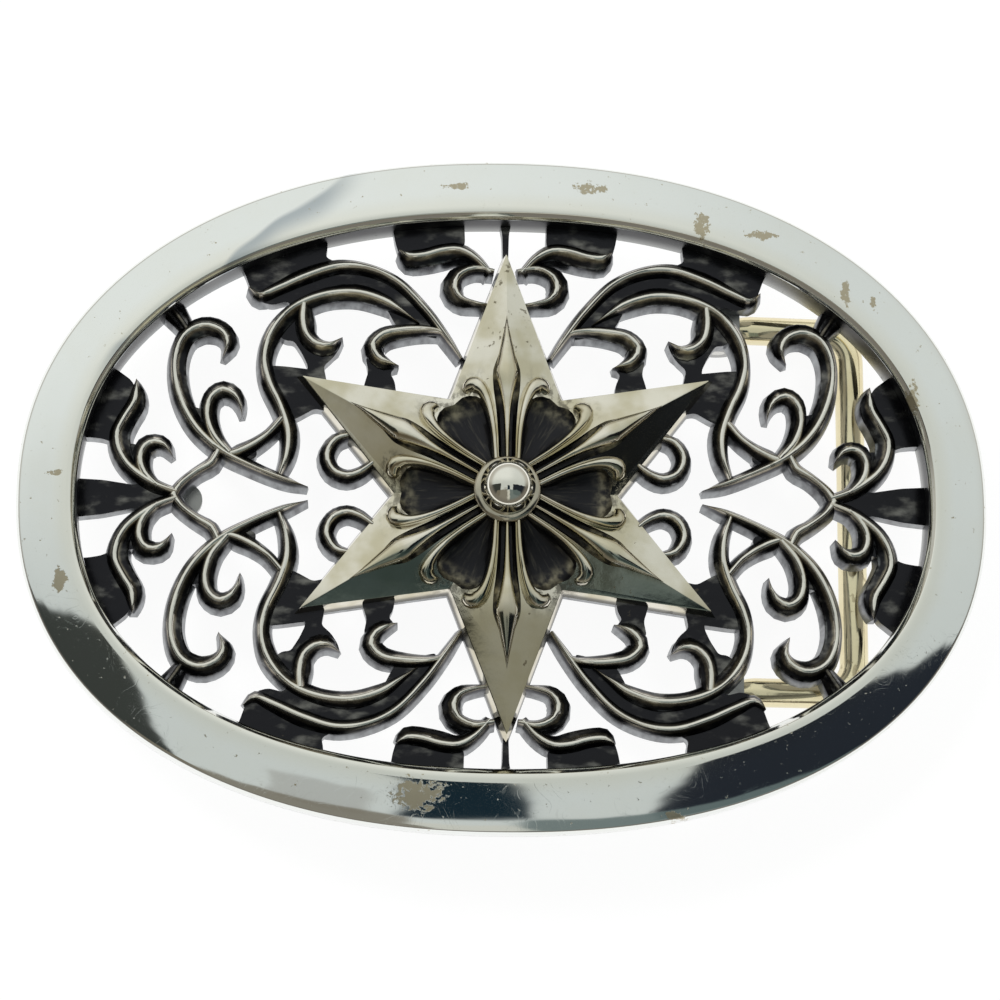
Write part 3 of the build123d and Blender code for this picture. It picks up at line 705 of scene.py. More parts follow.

# Middle and half breadths of each worn-through spot, and middle and direction of the painted reflection
TARNISH_SPOTS = [(20.2, 28.2, 1.1, 2.2), (26.5, 27.6, 2.2, 0.7), (35.2, 21.6, 0.7, 2.0),
                 (38.2, 20.8, 0.5, 1.0), (42.1, 10.7, 0.9, 2.2), (8.8, 32.0, 2.4, 0.8),
                 (-5.2, 32.0, 2.0, 0.5), (-9.0, -31.2, 3.4, 2.2), (-46.0, 2.0, 1.2, 0.4),
                 (-45.2, -9.0, 1.0, 1.6), (17.0, -33.0, 1.8, 0.6)]
WAVE_MIDDLE, WAVE_ACROSS, WAVE_ALONG = (-28.4, 23.6, 0), (0.64, -0.77, 0), (0.77, 0.64, 0)

rim_silver, bench, marks = new_material("polished_rim_silver", ripple_size=14.0, fleck_share=0.05)
spots = 0.0
for x, y, half_x, half_y in TARNISH_SPOTS:
    offset = bench.add("VectorMath", marks["Place"], (x, y, 0), operation="SUBTRACT")
    reach = bench.length(bench.stretched(offset, (1 / half_x, 1 / half_y, 0)))
    spots = bench.math("MAXIMUM", bench.ramp(reach, 1.25, 0.2), spots)
speckle = bench.noise(marks["Place"], 1.6, detail=5.0, roughness=0.65)
spots = bench.ramp(bench.plus(bench.times(spots, 0.30), speckle), 0.66, 0.72)
spots = bench.math("MAXIMUM", spots, marks["Flecks"])
colour = bench.mix(bench.times(marks["Bloom"], 0.09), WHITE_SILVER, IVORY_TARNISH)
lip = bench.times(bench.ramp(marks["Height"], 1.5, 1.95), bench.ramp(marks["Facing Up"], 0.3, 0.6))
colour = bench.mix(bench.times(lip, 0.35), colour, IVORY_TARNISH)
# Painted reflection: a soft grey wave across the upper left of the rim, standing in for a darker band that
# the polished silver mirrors
wave_place = bench.add("VectorMath", marks["Place"], WAVE_MIDDLE, operation="SUBTRACT")
across_wave = bench.add("VectorMath", wave_place, WAVE_ACROSS, operation="DOT_PRODUCT", out=1)
along_wave = bench.add("VectorMath", wave_place, WAVE_ALONG, operation="DOT_PRODUCT", out=1)
swing = bench.times(bench.minus(bench.noise(marks["Place"], 0.11, detail=1.0), 0.5), 4.0)
across_wave = bench.plus(across_wave, swing)
wave_reflection = bench.times(bench.ramp(across_wave, -0.7, 0.0), bench.ramp(across_wave, 2.6, 0.0))
wave_reflection = bench.times(wave_reflection, bench.ramp(bench.math("ABSOLUTE", along_wave), 19.0, 11.0))
colour = bench.mix(bench.times(wave_reflection, 0.8), colour, REFLECTED_WAVE_GREY)
colour = bench.mix(bench.times(spots, 0.8), colour, BROWN_FLECK)
facing_in = bench.ramp(marks["Outward"], -0.75, -0.95)
blackened = bench.times(facing_in, bench.ramp(marks["Height"], 1.3, 0.9))
blackened = bench.times(blackened, bench.ramp(marks["Height"], -4.2, -0.4, 0.6, 1.0))
colour = bench.mix(blackened, colour, PATINA)
roughness = bench.plus(bench.times(marks["Scratches"], 0.03), 0.06)
roughness = bench.plus(roughness, bench.times(spots, 0.35))
roughness = bench.plus(roughness, bench.times(blackened, 0.3))
back_side = bench.ramp(marks["Facing Up"], -0.6, -0.9)
roughness = bench.plus(roughness, bench.times(back_side, 0.16))
relief = bench.plus(bench.times(marks["Ripples"], 6.0), bench.times(marks["Scratches"], -0.025))
relief = bench.plus(relief, bench.times(spots, -0.3))
close_material(bench, colour, roughness, relief)
print("material:", rim_silver.name)


# %% Blackened silver for the panel, polished back on its crests
CREST_SILVER = (0.80, 0.775, 0.70, 1)
CREST_SHADE = (0.30, 0.265, 0.20, 1)
WALL_SHADOW, WALL_GREY = (0.06, 0.06, 0.068, 1), (0.36, 0.375, 0.39, 1)
WORN_SHEEN_HOLLOW, RUBBED_SHEEN_GREY = (0.19, 0.185, 0.17, 1), (0.30, 0.31, 0.32, 1)
DARK_FLECK, BACK_GREY = (0.10, 0.085, 0.06, 1), (0.36, 0.36, 0.35, 1)

panel_silver, bench, marks = new_material("blackened_panel_silver", ripple_size=2.2, fleck_share=0.1)
wavering = bench.noise(marks["Place"], 1.1, detail=4.0)
worn_height = bench.plus(marks["Height"], bench.times(bench.minus(wavering, 0.5), 0.3))
crest_foot = bench.ramp(worn_height, -0.62, -0.36)
crest = bench.ramp(worn_height, -0.38, -0.1)
steep = bench.ramp(marks["Facing Up"], 0.5, 0.15)
streaks = bench.noise(bench.stretched(marks["Place"], (1.0, 1.0, 0.25)), 0.9, detail=5.0, roughness=0.55)
wall_shine = bench.times(bench.ramp(streaks, 0.2, 0.75), bench.ramp(marks["Height"], -0.9, -1.6))
wall_colour = bench.mix(wall_shine, WALL_SHADOW, WALL_GREY)
# A grey band along the lower edges of the flanks: partly rubbed silver, partly a painted sheen
edge_band = bench.times(bench.ramp(marks["Height"], -0.78, -0.98), bench.ramp(marks["Height"], -1.12, -1.06))
rubbed_sheen_edge = bench.times(edge_band, bench.ramp(wavering, 0.42, 0.62))
# Lighter patches in the black hollows: partly worn patina, partly a painted grey sheen
worn_sheen_patches = bench.noise(bench.stretched(marks["Place"], (0.5, 1.0, 1.0)), 0.7, detail=5.0)
hollow = bench.mix(bench.ramp(worn_sheen_patches, 0.5, 0.78), PATINA, WORN_SHEEN_HOLLOW)
hollow = bench.mix(bench.times(rubbed_sheen_edge, 0.75), hollow, RUBBED_SHEEN_GREY)
colour = bench.mix(steep, hollow, wall_colour)
colour = bench.mix(crest_foot, colour, CREST_SHADE)
colour = bench.mix(crest, colour, CREST_SILVER)
colour = bench.mix(bench.times(marks["Flecks"], 0.5), colour, DARK_FLECK)
back_side = bench.ramp(marks["Facing Up"], -0.75, -0.95)
colour = bench.mix(bench.times(back_side, 0.8), colour, BACK_GREY)
roughness = bench.plus(0.13, bench.times(bench.minus(1.0, crest), 0.11))
roughness = bench.plus(roughness, bench.times(bench.times(streaks, steep), 0.2))
grain = bench.noise(marks["Place"], 3.0, detail=3.0)
relief = bench.plus(bench.times(marks["Ripples"], 4.0), bench.times(grain, 0.3))
close_material(bench, colour, roughness, relief, metallic=0.95)
print("material:", panel_silver.name)


# %% Warm silver for the star, and the black of its hollows
OLIVE_SILVER = (0.60, 0.55, 0.40, 1)
PALE_SILVER = (0.80, 0.76, 0.655, 1)
LOW_POINT_KHAKI, BROWN_FACET_SHADE = (0.27, 0.235, 0.15, 1), (0.30, 0.25, 0.16, 1)
TEAL_FACET_SHADE, MOTTLE_BLACK = (0.09, 0.13, 0.12, 1), (0.09, 0.08, 0.06, 1)
STAR_FLECK, STAR_WALL = (0.16, 0.13, 0.08, 1), (0.10, 0.098, 0.092, 1)
RUBBED_BLACK, RUBBED_OLIVE = (0.075, 0.07, 0.06, 1), (0.40, 0.36, 0.25, 1)

star_silver, bench, marks = new_material("warm_star_silver", ripple_size=4.5, fleck_share=0.17)
cloud = bench.noise(marks["Place"], 0.22, detail=3.0)
colour = bench.mix(bench.ramp(cloud, 0.35, 0.65), OLIVE_SILVER, PALE_SILVER)
from_middle = bench.length(bench.stretched(marks["Place"], FLAT))
corner_zone = bench.times(bench.ramp(from_middle, 7.0, 9.0), bench.ramp(from_middle, 14.0, 10.8))
low_zone = bench.ramp(marks["Height"], 0.9, 0.2)
mottle = bench.noise(bench.stretched(marks["Place"], (1.0, 0.7, 1.0)), 1.1, detail=5.0, roughness=0.6)
mottle = bench.ramp(mottle, 0.44, 0.6)
mottle = bench.times(mottle, bench.times(corner_zone, low_zone))
_, up_the_plate, _ = bench.split(marks["Place"])
# The upward faces of the points low on the plate are painted a darker khaki
low_point = bench.times(bench.ramp(up_the_plate, -9.0, -14.0), bench.ramp(marks["Facing Up"], 0.7, 0.85))
colour = bench.mix(bench.times(low_point, 0.8), colour, LOW_POINT_KHAKI)
# Painted shade: out on the points, facets that face the foot of the plate are darkened, brown on the upper
# points and teal on the lower
flank = bench.times(bench.ramp(marks["Facing Foot"], 0.12, 0.3), bench.ramp(from_middle, 8.0, 11.0))
flank = bench.times(flank, bench.ramp(marks["Facing Up"], 0.7, 0.85))
facet_shade_colour = bench.mix(bench.ramp(up_the_plate, 3.0, -3.0), BROWN_FACET_SHADE, TEAL_FACET_SHADE)
colour = bench.mix(bench.times(flank, 0.85), colour, facet_shade_colour)
colour = bench.mix(bench.times(mottle, 0.7), colour, MOTTLE_BLACK)
colour = bench.mix(bench.times(marks["Flecks"], 0.75), colour, STAR_FLECK)
wall_low = bench.times(bench.ramp(marks["Height"], -0.9, -1.7), bench.ramp(marks["Facing Up"], 0.75, 0.4))
colour = bench.mix(bench.times(wall_low, 0.9), colour, STAR_WALL)
roughness = bench.plus(0.11, bench.times(marks["Flecks"], 0.25))
roughness = bench.plus(roughness, bench.times(mottle, 0.25))
grain = bench.noise(marks["Place"], 1.5, detail=2.0)
relief = bench.plus(bench.times(marks["Ripples"], 3.0), bench.times(grain, 0.25))
relief = bench.plus(relief, bench.times(mottle, -1.0))
close_material(bench, colour, roughness, relief)

hollow_black, bench, marks = new_material("star_hollow_black", ripple_size=2.5, fleck_share=0.3)
radial = bench.add("TexGradient", bench.stretched(marks["Place"], FLAT), gradient_type="RADIAL")
from_middle = bench.length(bench.stretched(marks["Place"], FLAT))
round_place = bench.add("CombineXYZ", bench.times(radial, 95.0), from_middle, 0.0)
brushed = bench.noise(bench.stretched(round_place, (1.0, 0.22, 1.0)), 1.4, detail=4.0, roughness=0.6)
rubbed = bench.ramp(brushed, 0.5, 0.75)
colour = bench.mix(rubbed, PATINA, RUBBED_BLACK)
uneven_rub = bench.ramp(bench.noise(marks["Place"], 0.9, detail=6.0), 0.35, 0.8)
edge_rub = bench.times(bench.ramp(from_middle, 8.6, 10.4), uneven_rub)
colour = bench.mix(edge_rub, colour, RUBBED_OLIVE)
roughness = bench.plus(0.30, bench.times(brushed, 0.18))
close_material(bench, colour, roughness, bench.times(brushed, 2.0), metallic=0.85)
print("materials:", star_silver.name, hollow_black.name)


# %% Mirror silver for the ball, pale brass for the wire, plain finishes for the fittings
def simple_metal(name, colour, tarnish, shine, ripple_size, ripple_depth, tarnish_share=0.5):
    """A metal with blotches of tarnish, ripples and scratches."""
    material, bench, marks = new_material(name, ripple_size=ripple_size, fleck_share=0.25)
    mixed = bench.mix(bench.times(marks["Bloom"], tarnish_share), colour, tarnish)
    mixed = bench.mix(bench.times(marks["Flecks"], 0.6), mixed, BROWN_FLECK)
    roughness = bench.plus(shine, bench.times(marks["Scratches"], 0.08))
    roughness = bench.plus(roughness, bench.times(marks["Flecks"], 0.2))
    relief = bench.plus(bench.times(marks["Ripples"], ripple_depth), bench.times(marks["Scratches"], -0.1))
    close_material(bench, mixed, roughness, relief)
    return material


mirror_silver = simple_metal("mirror_bead_silver", (0.84, 0.82, 0.74, 1), (0.70, 0.66, 0.52, 1),
                             0.05, 3.0, 0.6)
pale_brass = simple_metal("pale_bail_brass", (0.82, 0.74, 0.50, 1), (0.62, 0.52, 0.30, 1),
                          0.12, 4.0, 2.0)
fitting_silver = simple_metal("blackened_fittings", (0.30, 0.30, 0.29, 1), (0.09, 0.09, 0.09, 1),
                              0.26, 2.0, 1.5, 0.8)
pin_steel = simple_metal("drawn_pin_steel", (0.62, 0.61, 0.57, 1), (0.42, 0.40, 0.35, 1),
                         0.2, 1.5, 0.6)
cup_silver = simple_metal("warm_cup_silver", (0.52, 0.48, 0.38, 1), (0.24, 0.22, 0.165, 1),
                          0.14, 2.4, 1.2, 0.7)
print("materials:", len(bpy.data.materials))


# %% [markdown]
# ## The star
#
# The star has six points. Each has a ridge down its middle and two sloping facets. In the middle,
# hollows were gouged between the points and blackened, and thin ribs run out from the bead: a
# spindle along each point, and a rib on each side of it that ends in an outward curl. The body
# starts as a flat twelve-sided face. It is extruded, poked to a peak and bevelled. The hollows
# are closed cutters, each modelled once and copied round.

# %% The body of the star
STAR_PEAK, STAR_TIP_HEIGHT, STAR_EDGE_HEIGHT = 2.3, 0.7, -0.6

star = plate_from("pointed_star", star_outline(), 0.0, STAR_SEAT)


def star_place(x, y, z):
    """Spreads the foot, and sets the tips and the inward corners at their heights."""
    is_tip = hypot(x, y) > (STAR_CORNER + STAR_TIP_SLANTED) / 2
    if z < -1:
        growth = (TIP_FLARE_SHARE if is_tip else 1.0) * STAR_FLARE / hypot(x, y)
        return Vector((x * (1 + growth), y * (1 + growth), STAR_SEAT + 0.01))
    return Vector((x, y, STAR_TIP_HEIGHT if is_tip else STAR_EDGE_HEIGHT))


lay(star, star_place)
edit(star)
select_where(star, lambda middle, normal: normal.z > 0.9)
bpy.ops.mesh.poke()
lay(star, lambda x, y, z: Vector((x, y, STAR_PEAK if hypot(x, y) < 1 and z > 0 else z)))
edit(star)
bpy.ops.mesh.normals_make_consistent(inside=False)
bpy.ops.object.mode_set(mode="OBJECT")
apply_modifier(star, "BEVEL", width=0.1, segments=2, limit_method="ANGLE", angle_limit=radians(18))
star.data.materials.append(star_silver)
print("star body faces", len(star.data.polygons), "open edges", open_edges(star))


# %% Gouge the six webs and the six troughs
def turned_copies(piece, first_angle, count=6):
    """Copies of a piece round Z, each with its own mesh; the piece itself points along +Y."""
    copies = []
    for place in range(count):
        make_active(piece)
        bpy.ops.object.duplicate()
        copy = bpy.context.object
        copy.data.transform(Matrix.Rotation(radians(first_angle + 60 * place), 4, "Z"))
        copies.append(copy)
    bpy.data.objects.remove(piece)
    return copies


def gouge_columns(half, floor):
    """An upside-down cross-section: a rounded hollow with sides that open upwards."""
    half = max(half, 0.05)
    side = [(half * 1.1 + 0.25, 3.4), (half, 1.05), (half * 0.86, floor + 0.55),
            (half * 0.62, floor + 0.16), (half * 0.3, floor + 0.07)]
    return side + [(0.0, floor)] + [(-across, height) for across, height in reversed(side)]


def trough_columns(half, floor):
    """A narrower hollow with steep sides and a flat floor."""
    half = max(half, 0.05)
    side = [(half * 1.06 + 0.05, 3.4), (half, 1.7), (half * 0.85, floor + 0.2), (half * 0.6, floor)]
    return side + [(0.0, floor)] + [(-across, height) for across, height in reversed(side)]


WEB_GOUGE = [(0, 3.3, 0.45, 0.9), (0, 4.2, 0.85, 0.3), (0, 6.0, 1.7, -0.35), (0, 8.0, 2.45, -0.8),
             (0, 9.2, 2.75, -0.9), (0, 10.2, 2.5, -0.7), (0, 11.0, 1.6, -0.2)]
POINT_TROUGH = [(0, 3.0, 0.85, 0.7), (0, 6.0, 0.95, 0.45), (0, 8.8, 1.2, 0.4), (0, 11.0, 1.55, 0.6),
                (0, 12.8, 1.6, 0.75), (0, 14.8, 1.0, 1.0), (0, 18.0, 0.1, 1.1)]
for name, line, columns, first_angle in (("web_gouge", WEB_GOUGE, gouge_columns, 30),
                                         ("point_trough", POINT_TROUGH, trough_columns, 0)):
    cutter = strip_along(name, smooth_line(line, 0.5), columns, 4.2, 0.0)
    edit(cutter)
    bpy.ops.mesh.normals_make_consistent(inside=False)
    bpy.ops.object.mode_set(mode="OBJECT")
    cutter.data.materials.append(hollow_black)
    for copy in turned_copies(cutter, first_angle):
        apply_modifier(star, "BOOLEAN", operation="DIFFERENCE", object=copy, solver="MANIFOLD",
                       material_mode="TRANSFER")
        bpy.data.objects.remove(copy)
    print(name, "star faces", len(star.data.polygons), "open edges", open_edges(star))


# %% Add the spindles and the curled side ribs
def rib_columns(half, crest, foot=-0.6):
    """A rib with a soft ridge and steep sides."""
    half = max(half, 0.03)
    side = [(half * 1.15, foot), (half, crest - 0.55), (half * 0.72, crest - 0.2),
            (half * 0.34, crest - 0.04)]
    return side + [(0.0, crest)] + [(-across, height) for across, height in reversed(side)]


SPINDLE = [(0, 3.0, 0.2, 2.05), (0, 6.0, 0.27, 2.1), (0, 8.6, 0.42, 2.15), (0, 10.6, 0.75, 2.3),
           (0, 12.4, 1.08, 2.35), (0, 14.2, 0.82, 2.05), (0, 16.4, 0.4, 1.6), (0, 18.4, 0.04, 1.12)]
SIDE_RIB = [(1.15, 3.2, 0.27, 2.1), (1.32, 5.9, 0.3, 1.98), (1.62, 8.0, 0.36, 1.85), (2.05, 9.6, 0.46, 1.72),
            (2.6, 10.7, 0.62, 1.6), (3.2, 11.2, 0.8, 1.42), (3.8, 11.1, 0.72, 1.1), (4.15, 10.7, 0.45, 0.7),
            (4.2, 10.4, 0.1, 0.35)]
for name, line in (("spindle", SPINDLE), ("rib_right", SIDE_RIB),
                   ("rib_left", [(-x, y, half, crest) for x, y, half, crest in SIDE_RIB])):
    rib = strip_along(name, smooth_line(line, 0.45), rib_columns, -0.7, 0.0)
    edit(rib)
    bpy.ops.mesh.normals_make_consistent(inside=False)
    bpy.ops.object.mode_set(mode="OBJECT")
    rib.data.materials.append(star_silver)
    for copy in turned_copies(rib, 0):
        apply_modifier(star, "BOOLEAN", operation="UNION", object=copy, solver="MANIFOLD",
                       material_mode="TRANSFER")
        bpy.data.objects.remove(copy)
    print(name, "star faces", len(star.data.polygons), "open edges", open_edges(star))


# %% [markdown]
# ## The bead and its cup
#
# The bead is a polished ball that sits in a low turned cup. Its rivet goes through the star and
# the panel, and its end is peened over behind a washer. Turned pieces are all made in one way: a
# circle is extruded ring by ring, up the profile that a lathe would cut.

# %% Turn the bead, the cup and the washer
def turned_piece(name, profile, sides=96, closed_ends=True):
    """A circle extruded through (radius, height) rings, with its ends filled or joined."""
    deselect_all()
    bpy.ops.mesh.primitive_circle_add(vertices=sides, radius=1)
    piece = name_new(name)

    def ring_place(radius, height):
        return lambda x, y, z: Vector((radius * x / hypot(x, y), radius * y / hypot(x, y), height))

    lay(piece, ring_place(*profile[0]))
    edit(piece)
    if closed_ends:
        bpy.ops.mesh.edge_face_add()
    for ring in profile[1:] + ([] if closed_ends else profile[:1]):
        if closed_ends:
            bpy.ops.mesh.select_all(action="DESELECT")
            bpy.ops.object.mode_set(mode="OBJECT")
            for vertex in piece.data.vertices[-sides:]:
                vertex.select = True
            bpy.ops.object.mode_set(mode="EDIT")
        bpy.ops.mesh.extrude_edges_move()
        lay(piece, ring_place(*ring), selected_only=True)
        bpy.ops.object.mode_set(mode="EDIT")
    if closed_ends:
        bpy.ops.mesh.edge_face_add()
    bpy.ops.mesh.select_all(action="SELECT")
    bpy.ops.mesh.remove_doubles(threshold=0.001)
    bpy.ops.mesh.normals_make_consistent(inside=False)
    bpy.ops.object.mode_set(mode="OBJECT")
    return piece


BEAD_RADIUS, BEAD_CENTRE = 2.8, 3.5
RIVET_RADIUS, RIVET_END = 0.8, -4.6
WASHER_BACK = -4.1
ball_profile = [(BEAD_RADIUS * sin(radians(angle)), BEAD_CENTRE + BEAD_RADIUS * cos(radians(angle)))
                for angle in range(2, 163, 4)]
bead = turned_piece("centre_ball", ball_profile + [
    (RIVET_RADIUS, 0.7), (RIVET_RADIUS, WASHER_BACK), (1.3, WASHER_BACK), (1.25, -4.35), (0.95, -4.55),
    (0.4, RIVET_END)])
cup_profile = [(2.6, 2.38), (2.95, 2.4), (3.2, 2.3), (3.42, 2.1), (3.5, 1.8), (3.46, 1.5), (3.6, 1.2),
               (3.6, 0.5), (0.85, 0.5), (0.85, 0.75), (1.6, 1.2), (2.3, 1.9)]
cup = turned_piece("bead_collet", cup_profile, closed_ends=False)
washer = turned_piece("rivet_washer", [(0.85, -3.32), (2.35, -3.32), (2.5, -3.45), (2.5, -3.95), (2.35, -4.1),
                                       (0.85, -4.1)], closed_ends=False)
print("bead open edges", open_edges(bead), "cup", open_edges(cup), "washer", open_edges(washer))


# %% [markdown]
# ## The bail
#
# The bail is one length of round brass wire, bent twice and flattened at its ends into eyes. It
# swings on two pins. A circle is extruded along the wire, and each ring is turned to face along
# it. The eyes are short turned barrels that are joined on, and their holes are cut last.

# %% Bend the wire and add its eyes
BAIL_HINGE_X, BAIL_BAR_X, BAIL_SIDE_Y = 22.5, 36.5, 19.2
BAIL_HINGE_Z, BAIL_BAR_Z = -6.8, -8.3
BAIL_RADIUS, BAIL_CORNER = 1.5, 3.2
NECK_START, NECK_END, NECK_RADIUS = 1.2, 3.4, 1.15      # the neck grows to the round wire
PAST_NECK = 99              # a distance from the hinge at which the wire is round


def bail_rings():
    """Middle, direction and half height of each ring along the wire, from one eye to the other."""
    slope = (BAIL_BAR_Z - BAIL_HINGE_Z) / (BAIL_BAR_X - BAIL_HINGE_X)
    corner_x, corner_y = BAIL_BAR_X - BAIL_CORNER, BAIL_SIDE_Y - BAIL_CORNER
    half = []
    for distance in (NECK_START, 1.6, 2.1, 2.7, NECK_END, 6.0, 9.0, corner_x - BAIL_HINGE_X - 0.4):
        half.append((BAIL_HINGE_X + distance, BAIL_SIDE_Y, distance))
    for step in range(0, 10):
        angle = radians(90 - 10 * step)
        half.append((corner_x + BAIL_CORNER * cos(angle), corner_y + BAIL_CORNER * sin(angle),
                     PAST_NECK))
    half += [(BAIL_BAR_X, y, PAST_NECK) for y in (corner_y - 0.5, 8.0, 0.0)]
    whole = half + [(x, -y, distance) for x, y, distance in reversed(half[:-1])]
    rings = []
    for place, (x, y, distance) in enumerate(whole):
        before, after = whole[max(place - 1, 0)], whole[min(place + 1, len(whole) - 1)]
        run = after[0] - before[0]
        ahead = Vector((run, after[1] - before[1], slope * run)).normalized()
        grown = min(1.0, max(0.0, (distance - NECK_START) / (NECK_END - NECK_START)))
        grown = grown * grown * (3 - 2 * grown)
        middle = Vector((x, y, BAIL_HINGE_Z + slope * (x - BAIL_HINGE_X)))
        rings.append((middle, ahead, NECK_RADIUS + (BAIL_RADIUS - NECK_RADIUS) * grown))
    return rings


def wire_piece(name, rings, sides=40):
    """A closed round wire through rings of (middle, direction, radius)."""
    deselect_all()
    bpy.ops.mesh.primitive_circle_add(vertices=sides, radius=1, fill_type="NGON")
    piece = name_new(name)
    turns = [2 * pi * place / sides for place in range(sides)]

    def set_ring(start, middle, ahead, radius):
        aside = ahead.cross(Vector((0, 0, 1))).normalized()
        above = aside.cross(ahead)
        for place, turn in enumerate(turns):
            piece.data.vertices[start + place].co = middle + radius * (cos(turn) * aside + sin(turn) * above)

    edit(piece)
    for _ in rings[1:]:
        bpy.ops.mesh.extrude_region_move()
    bpy.ops.object.mode_set(mode="OBJECT")
    for place, ring in enumerate(rings):
        set_ring(place * sides, *ring)
    piece.data.update()
    return piece


bail = wire_piece("bail_wire", bail_rings())
print("bail faces", len(bail.data.polygons), "open edges", open_edges(bail))


# %% Add the two eyes, and bore them for the pins
def across_belt(x, y, z, middle):
    """A turned piece's axis from Z to Y, with its middle at a place."""
    return Vector((middle[0] + x, middle[1] + z, middle[2] + y))


EYE_RADIUS, EYE_HALF_BREADTH, EYE_BORE = 1.6, 1.2, 0.8
for side in (-1, 1):
    hinge = (BAIL_HINGE_X, side * BAIL_SIDE_Y, BAIL_HINGE_Z)
    eye = turned_piece("eye", [(1.3, -EYE_HALF_BREADTH), (1.5, -1.13), (EYE_RADIUS, -0.95),
                               (EYE_RADIUS, 0.95), (1.5, 1.13), (1.3, EYE_HALF_BREADTH)], sides=64)
    bore = turned_piece("bore", [(EYE_BORE, -2.4), (EYE_BORE, 2.4)], sides=48)
    for part, operation in ((eye, "UNION"), (bore, "DIFFERENCE")):
        lay(part, lambda x, y, z: across_belt(x, y, z, hinge))
        edit(part)
        bpy.ops.mesh.normals_make_consistent(inside=False)
        bpy.ops.object.mode_set(mode="OBJECT")
        combine(bail, part, operation)
print("bail with eyes: open edges", open_edges(bail))


# %% [markdown]
# ## Hand every piece to its body
#
# A piece that stands for a CAD part hides that part and moves with its body. The lugs, the pins
# and the hook keep their CAD shape, and take a finish.

# %% Finish the pieces
finish_piece(rim, "plate", rim_silver, ("rim",), bent=True)
finish_piece(panel, "plate", panel_silver, ("scroll_panel",), bent=True, merge=0)
finish_piece(star, "plate", None, ("star",), bent=True, merge=0)
finish_piece(bead, "plate", mirror_silver, ("centre_bead",))
finish_piece(cup, "plate", cup_silver, ("bead_cup",))
finish_piece(washer, "plate", fitting_silver, ("bead_washer",))
finish_piece(bail, "bail", pale_brass, ("bail",), merge=0)

CARRIED = {"hook_pad": (fitting_silver, "oxidised_silver"), "hook_post": (pale_brass, "pale_brass"),
           "bail_lug_upper": (fitting_silver, "oxidised_silver"),
           "bail_lug_lower": (fitting_silver, "oxidised_silver"),
           "bail_pin_upper": (pin_steel, "pin_steel"), "bail_pin_lower": (pin_steel, "pin_steel")}
for name, (material, slot) in CARRIED.items():
    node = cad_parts[name]
    node.data.materials.clear()
    node.data.materials.append(material)
print("carried CAD parts:", len(CARRIED))


# %% [markdown]
# ## The studio
#
# Polished silver shows what is around it, so the studio is mostly a picture of what the metal
# reflects: a soft white tent, with the darker side where the camera and its stand are. The floor
# is a pale sheet that is lit from below, so that it stays clean behind the openings. It can be
# seen through from underneath, so that the back of the buckle can be looked at too.

# %% Floor and tent
deselect_all()
FLOOR_SIZE, FLOOR_GAP, FLOOR_LIGHT = 3.0, 0.0004, 0.91
FLOOR_GREYS = (0.14, 0.14, 0.14, 1), (0.16, 0.16, 0.16, 1)
bpy.ops.mesh.primitive_plane_add(size=FLOOR_SIZE, location=(0, 0, -FLOOR_GAP))
floor = name_new("studio_floor")
floor_paper, bench, marks = new_material("pale_floor_paper")
paper, output = close_material(
    bench, bench.mix(bench.noise(marks["Place"], 0.02), *FLOOR_GREYS),
    0.9, metallic=0.0, Emission_Color=(1, 1, 1, 1), Emission_Strength=FLOOR_LIGHT)
one_sided = bench.tree.nodes.new("ShaderNodeMixShader")
bench.plug(bench.tree.nodes.new("ShaderNodeNewGeometry").outputs["Backfacing"], one_sided.inputs[0])
bench.plug(paper.outputs[0], one_sided.inputs[1])
bench.plug(bench.tree.nodes.new("ShaderNodeBsdfTransparent").outputs[0], one_sided.inputs[2])
bench.plug(one_sided.outputs[0], output.inputs[0])
floor.data.materials.append(floor_paper)

world = bpy.data.worlds.new("white_tent")
bpy.context.scene.world = world
world.use_nodes = True
bench = NodeBench(world.node_tree)
direction = bench.tree.nodes.new("ShaderNodeTexCoord").outputs["Generated"]
along_x, along_y, upward = bench.split(direction)
uneven = bench.noise(direction, 5.0, detail=2.0)
wobble = bench.times(bench.minus(uneven, 0.5), 0.12)
side_x = bench.plus(along_x, wobble)
side_y = bench.plus(along_y, wobble)


def dark_patch(low_x, high_x, low_y, high_y, soft=0.012):
    """A soft-edged patch of the tent between these direction cosines."""
    edges = [bench.ramp(side_x, low_x - soft, low_x + soft), bench.ramp(side_x, high_x + soft, high_x - soft),
             bench.ramp(side_y, low_y - soft, low_y + soft), bench.ramp(side_y, high_y + soft, high_y - soft)]
    return bench.times(bench.times(edges[0], edges[1]), bench.times(edges[2], edges[3]))


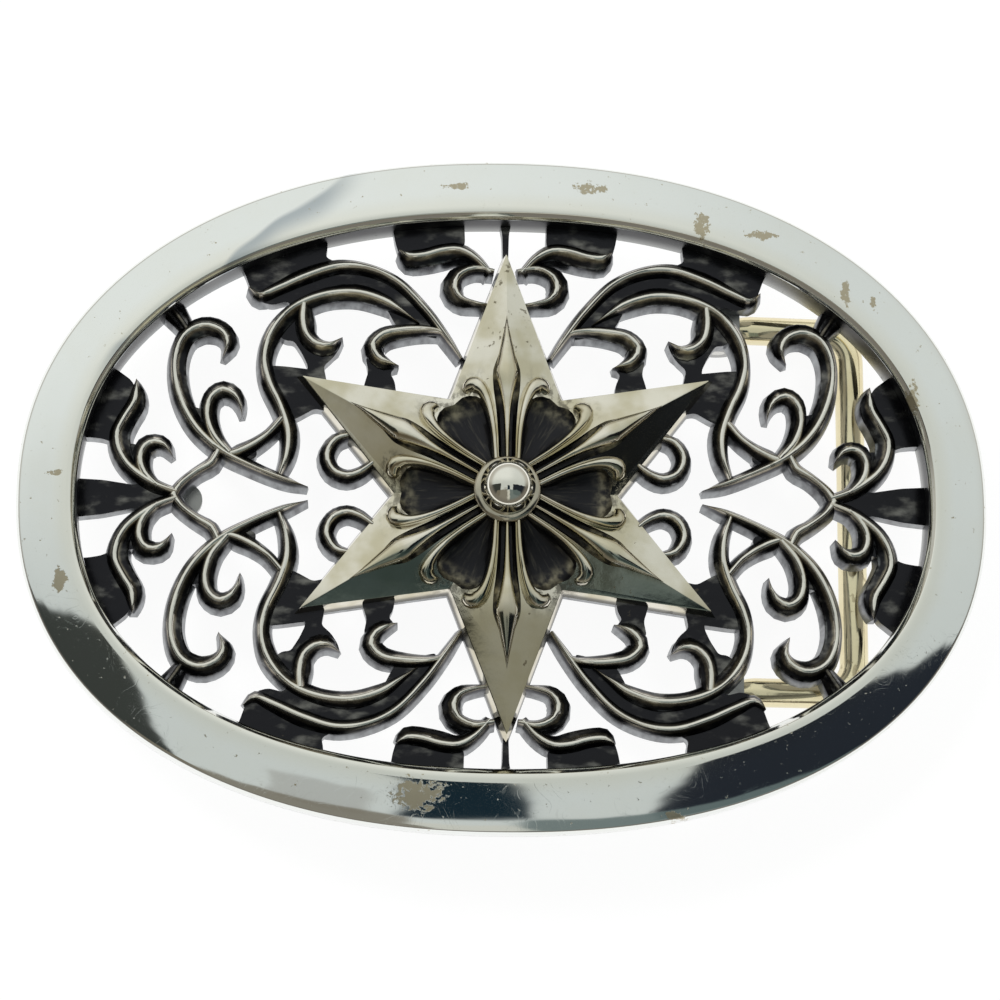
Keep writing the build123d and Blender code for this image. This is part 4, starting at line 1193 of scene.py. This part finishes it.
TENT_WHITE, TENT_GREY = (0.83, 0.86, 0.84, 1), (0.60, 0.635, 0.62, 1)
ROOM_BROWN, ROOM_PALE = (0.20, 0.185, 0.16, 1), (0.52, 0.51, 0.47, 1)
FLOOR_GLOW = (0.88, 0.87, 0.84, 1)
tent = bench.mix(bench.ramp(side_y, -0.05, 0.5), TENT_GREY, TENT_WHITE)
tent = bench.mix(bench.times(bench.ramp(side_x, -0.1, 0.6), 0.6), tent, TENT_GREY)
# The four edges of each patch, its colour, and how much it covers the tent
PATCHES = [((-0.10, 0.08, -0.45, -0.16), (0.008, 0.02, 0.03, 1), 1.0),
           ((0.30, 0.98, -0.72, -0.09), (0.012, 0.016, 0.024, 1), 0.99),
           ((-0.98, -0.55, -0.72, -0.02), (0.032, 0.036, 0.032, 1), 0.98),
           ((-0.34, -0.16, -0.5, -0.33), (0.30, 0.29, 0.27, 1), 0.5),
           ((-0.08, 0.08, -0.97, -0.5), (0.62, 0.60, 0.52, 1), 0.6),
           ((-0.75, -0.08, -1.0, -0.45), (0.20, 0.18, 0.14, 1), 0.9),
           ((0.08, 0.75, -1.0, -0.45), (0.13, 0.17, 0.17, 1), 0.9)]
for edges, dark_colour, share in PATCHES:
    tent = bench.mix(bench.times(dark_patch(*edges), share), tent, dark_colour)
horizon = bench.mix(bench.ramp(side_y, -0.15, 0.3), ROOM_BROWN, ROOM_PALE)
tent = bench.mix(bench.ramp(upward, 0.45, 0.15), tent, horizon)
tent = bench.mix(bench.ramp(upward, -0.02, -0.1), tent, FLOOR_GLOW)
background = bench.tree.nodes.new("ShaderNodeBackground")
bench.plug(tent, background.inputs[0])
background.inputs[1].default_value = 1.0
world_output = bench.tree.nodes.new("ShaderNodeOutputWorld")
bench.plug(background.outputs[0], world_output.inputs[0])
print("tent patches:", len(PATCHES))


# %% A soft key light, and plain colours
def soft_light(name, place, size, power):
    """A large square light that looks at the middle of the buckle."""
    data = bpy.data.lights.new(name, "AREA")
    data.size, data.energy = size, power
    light = bpy.data.objects.new(name, data)
    bpy.context.scene.collection.objects.link(light)
    light.location = place
    light.visible_glossy = False
    light.rotation_mode = "QUATERNION"
    light.rotation_quaternion = Vector(place).to_track_quat("Z", "Y")


soft_light("key_light", (-0.45, 0.5, 0.7), 0.35, 4.0)
bpy.context.scene.view_settings.view_transform = "Standard"
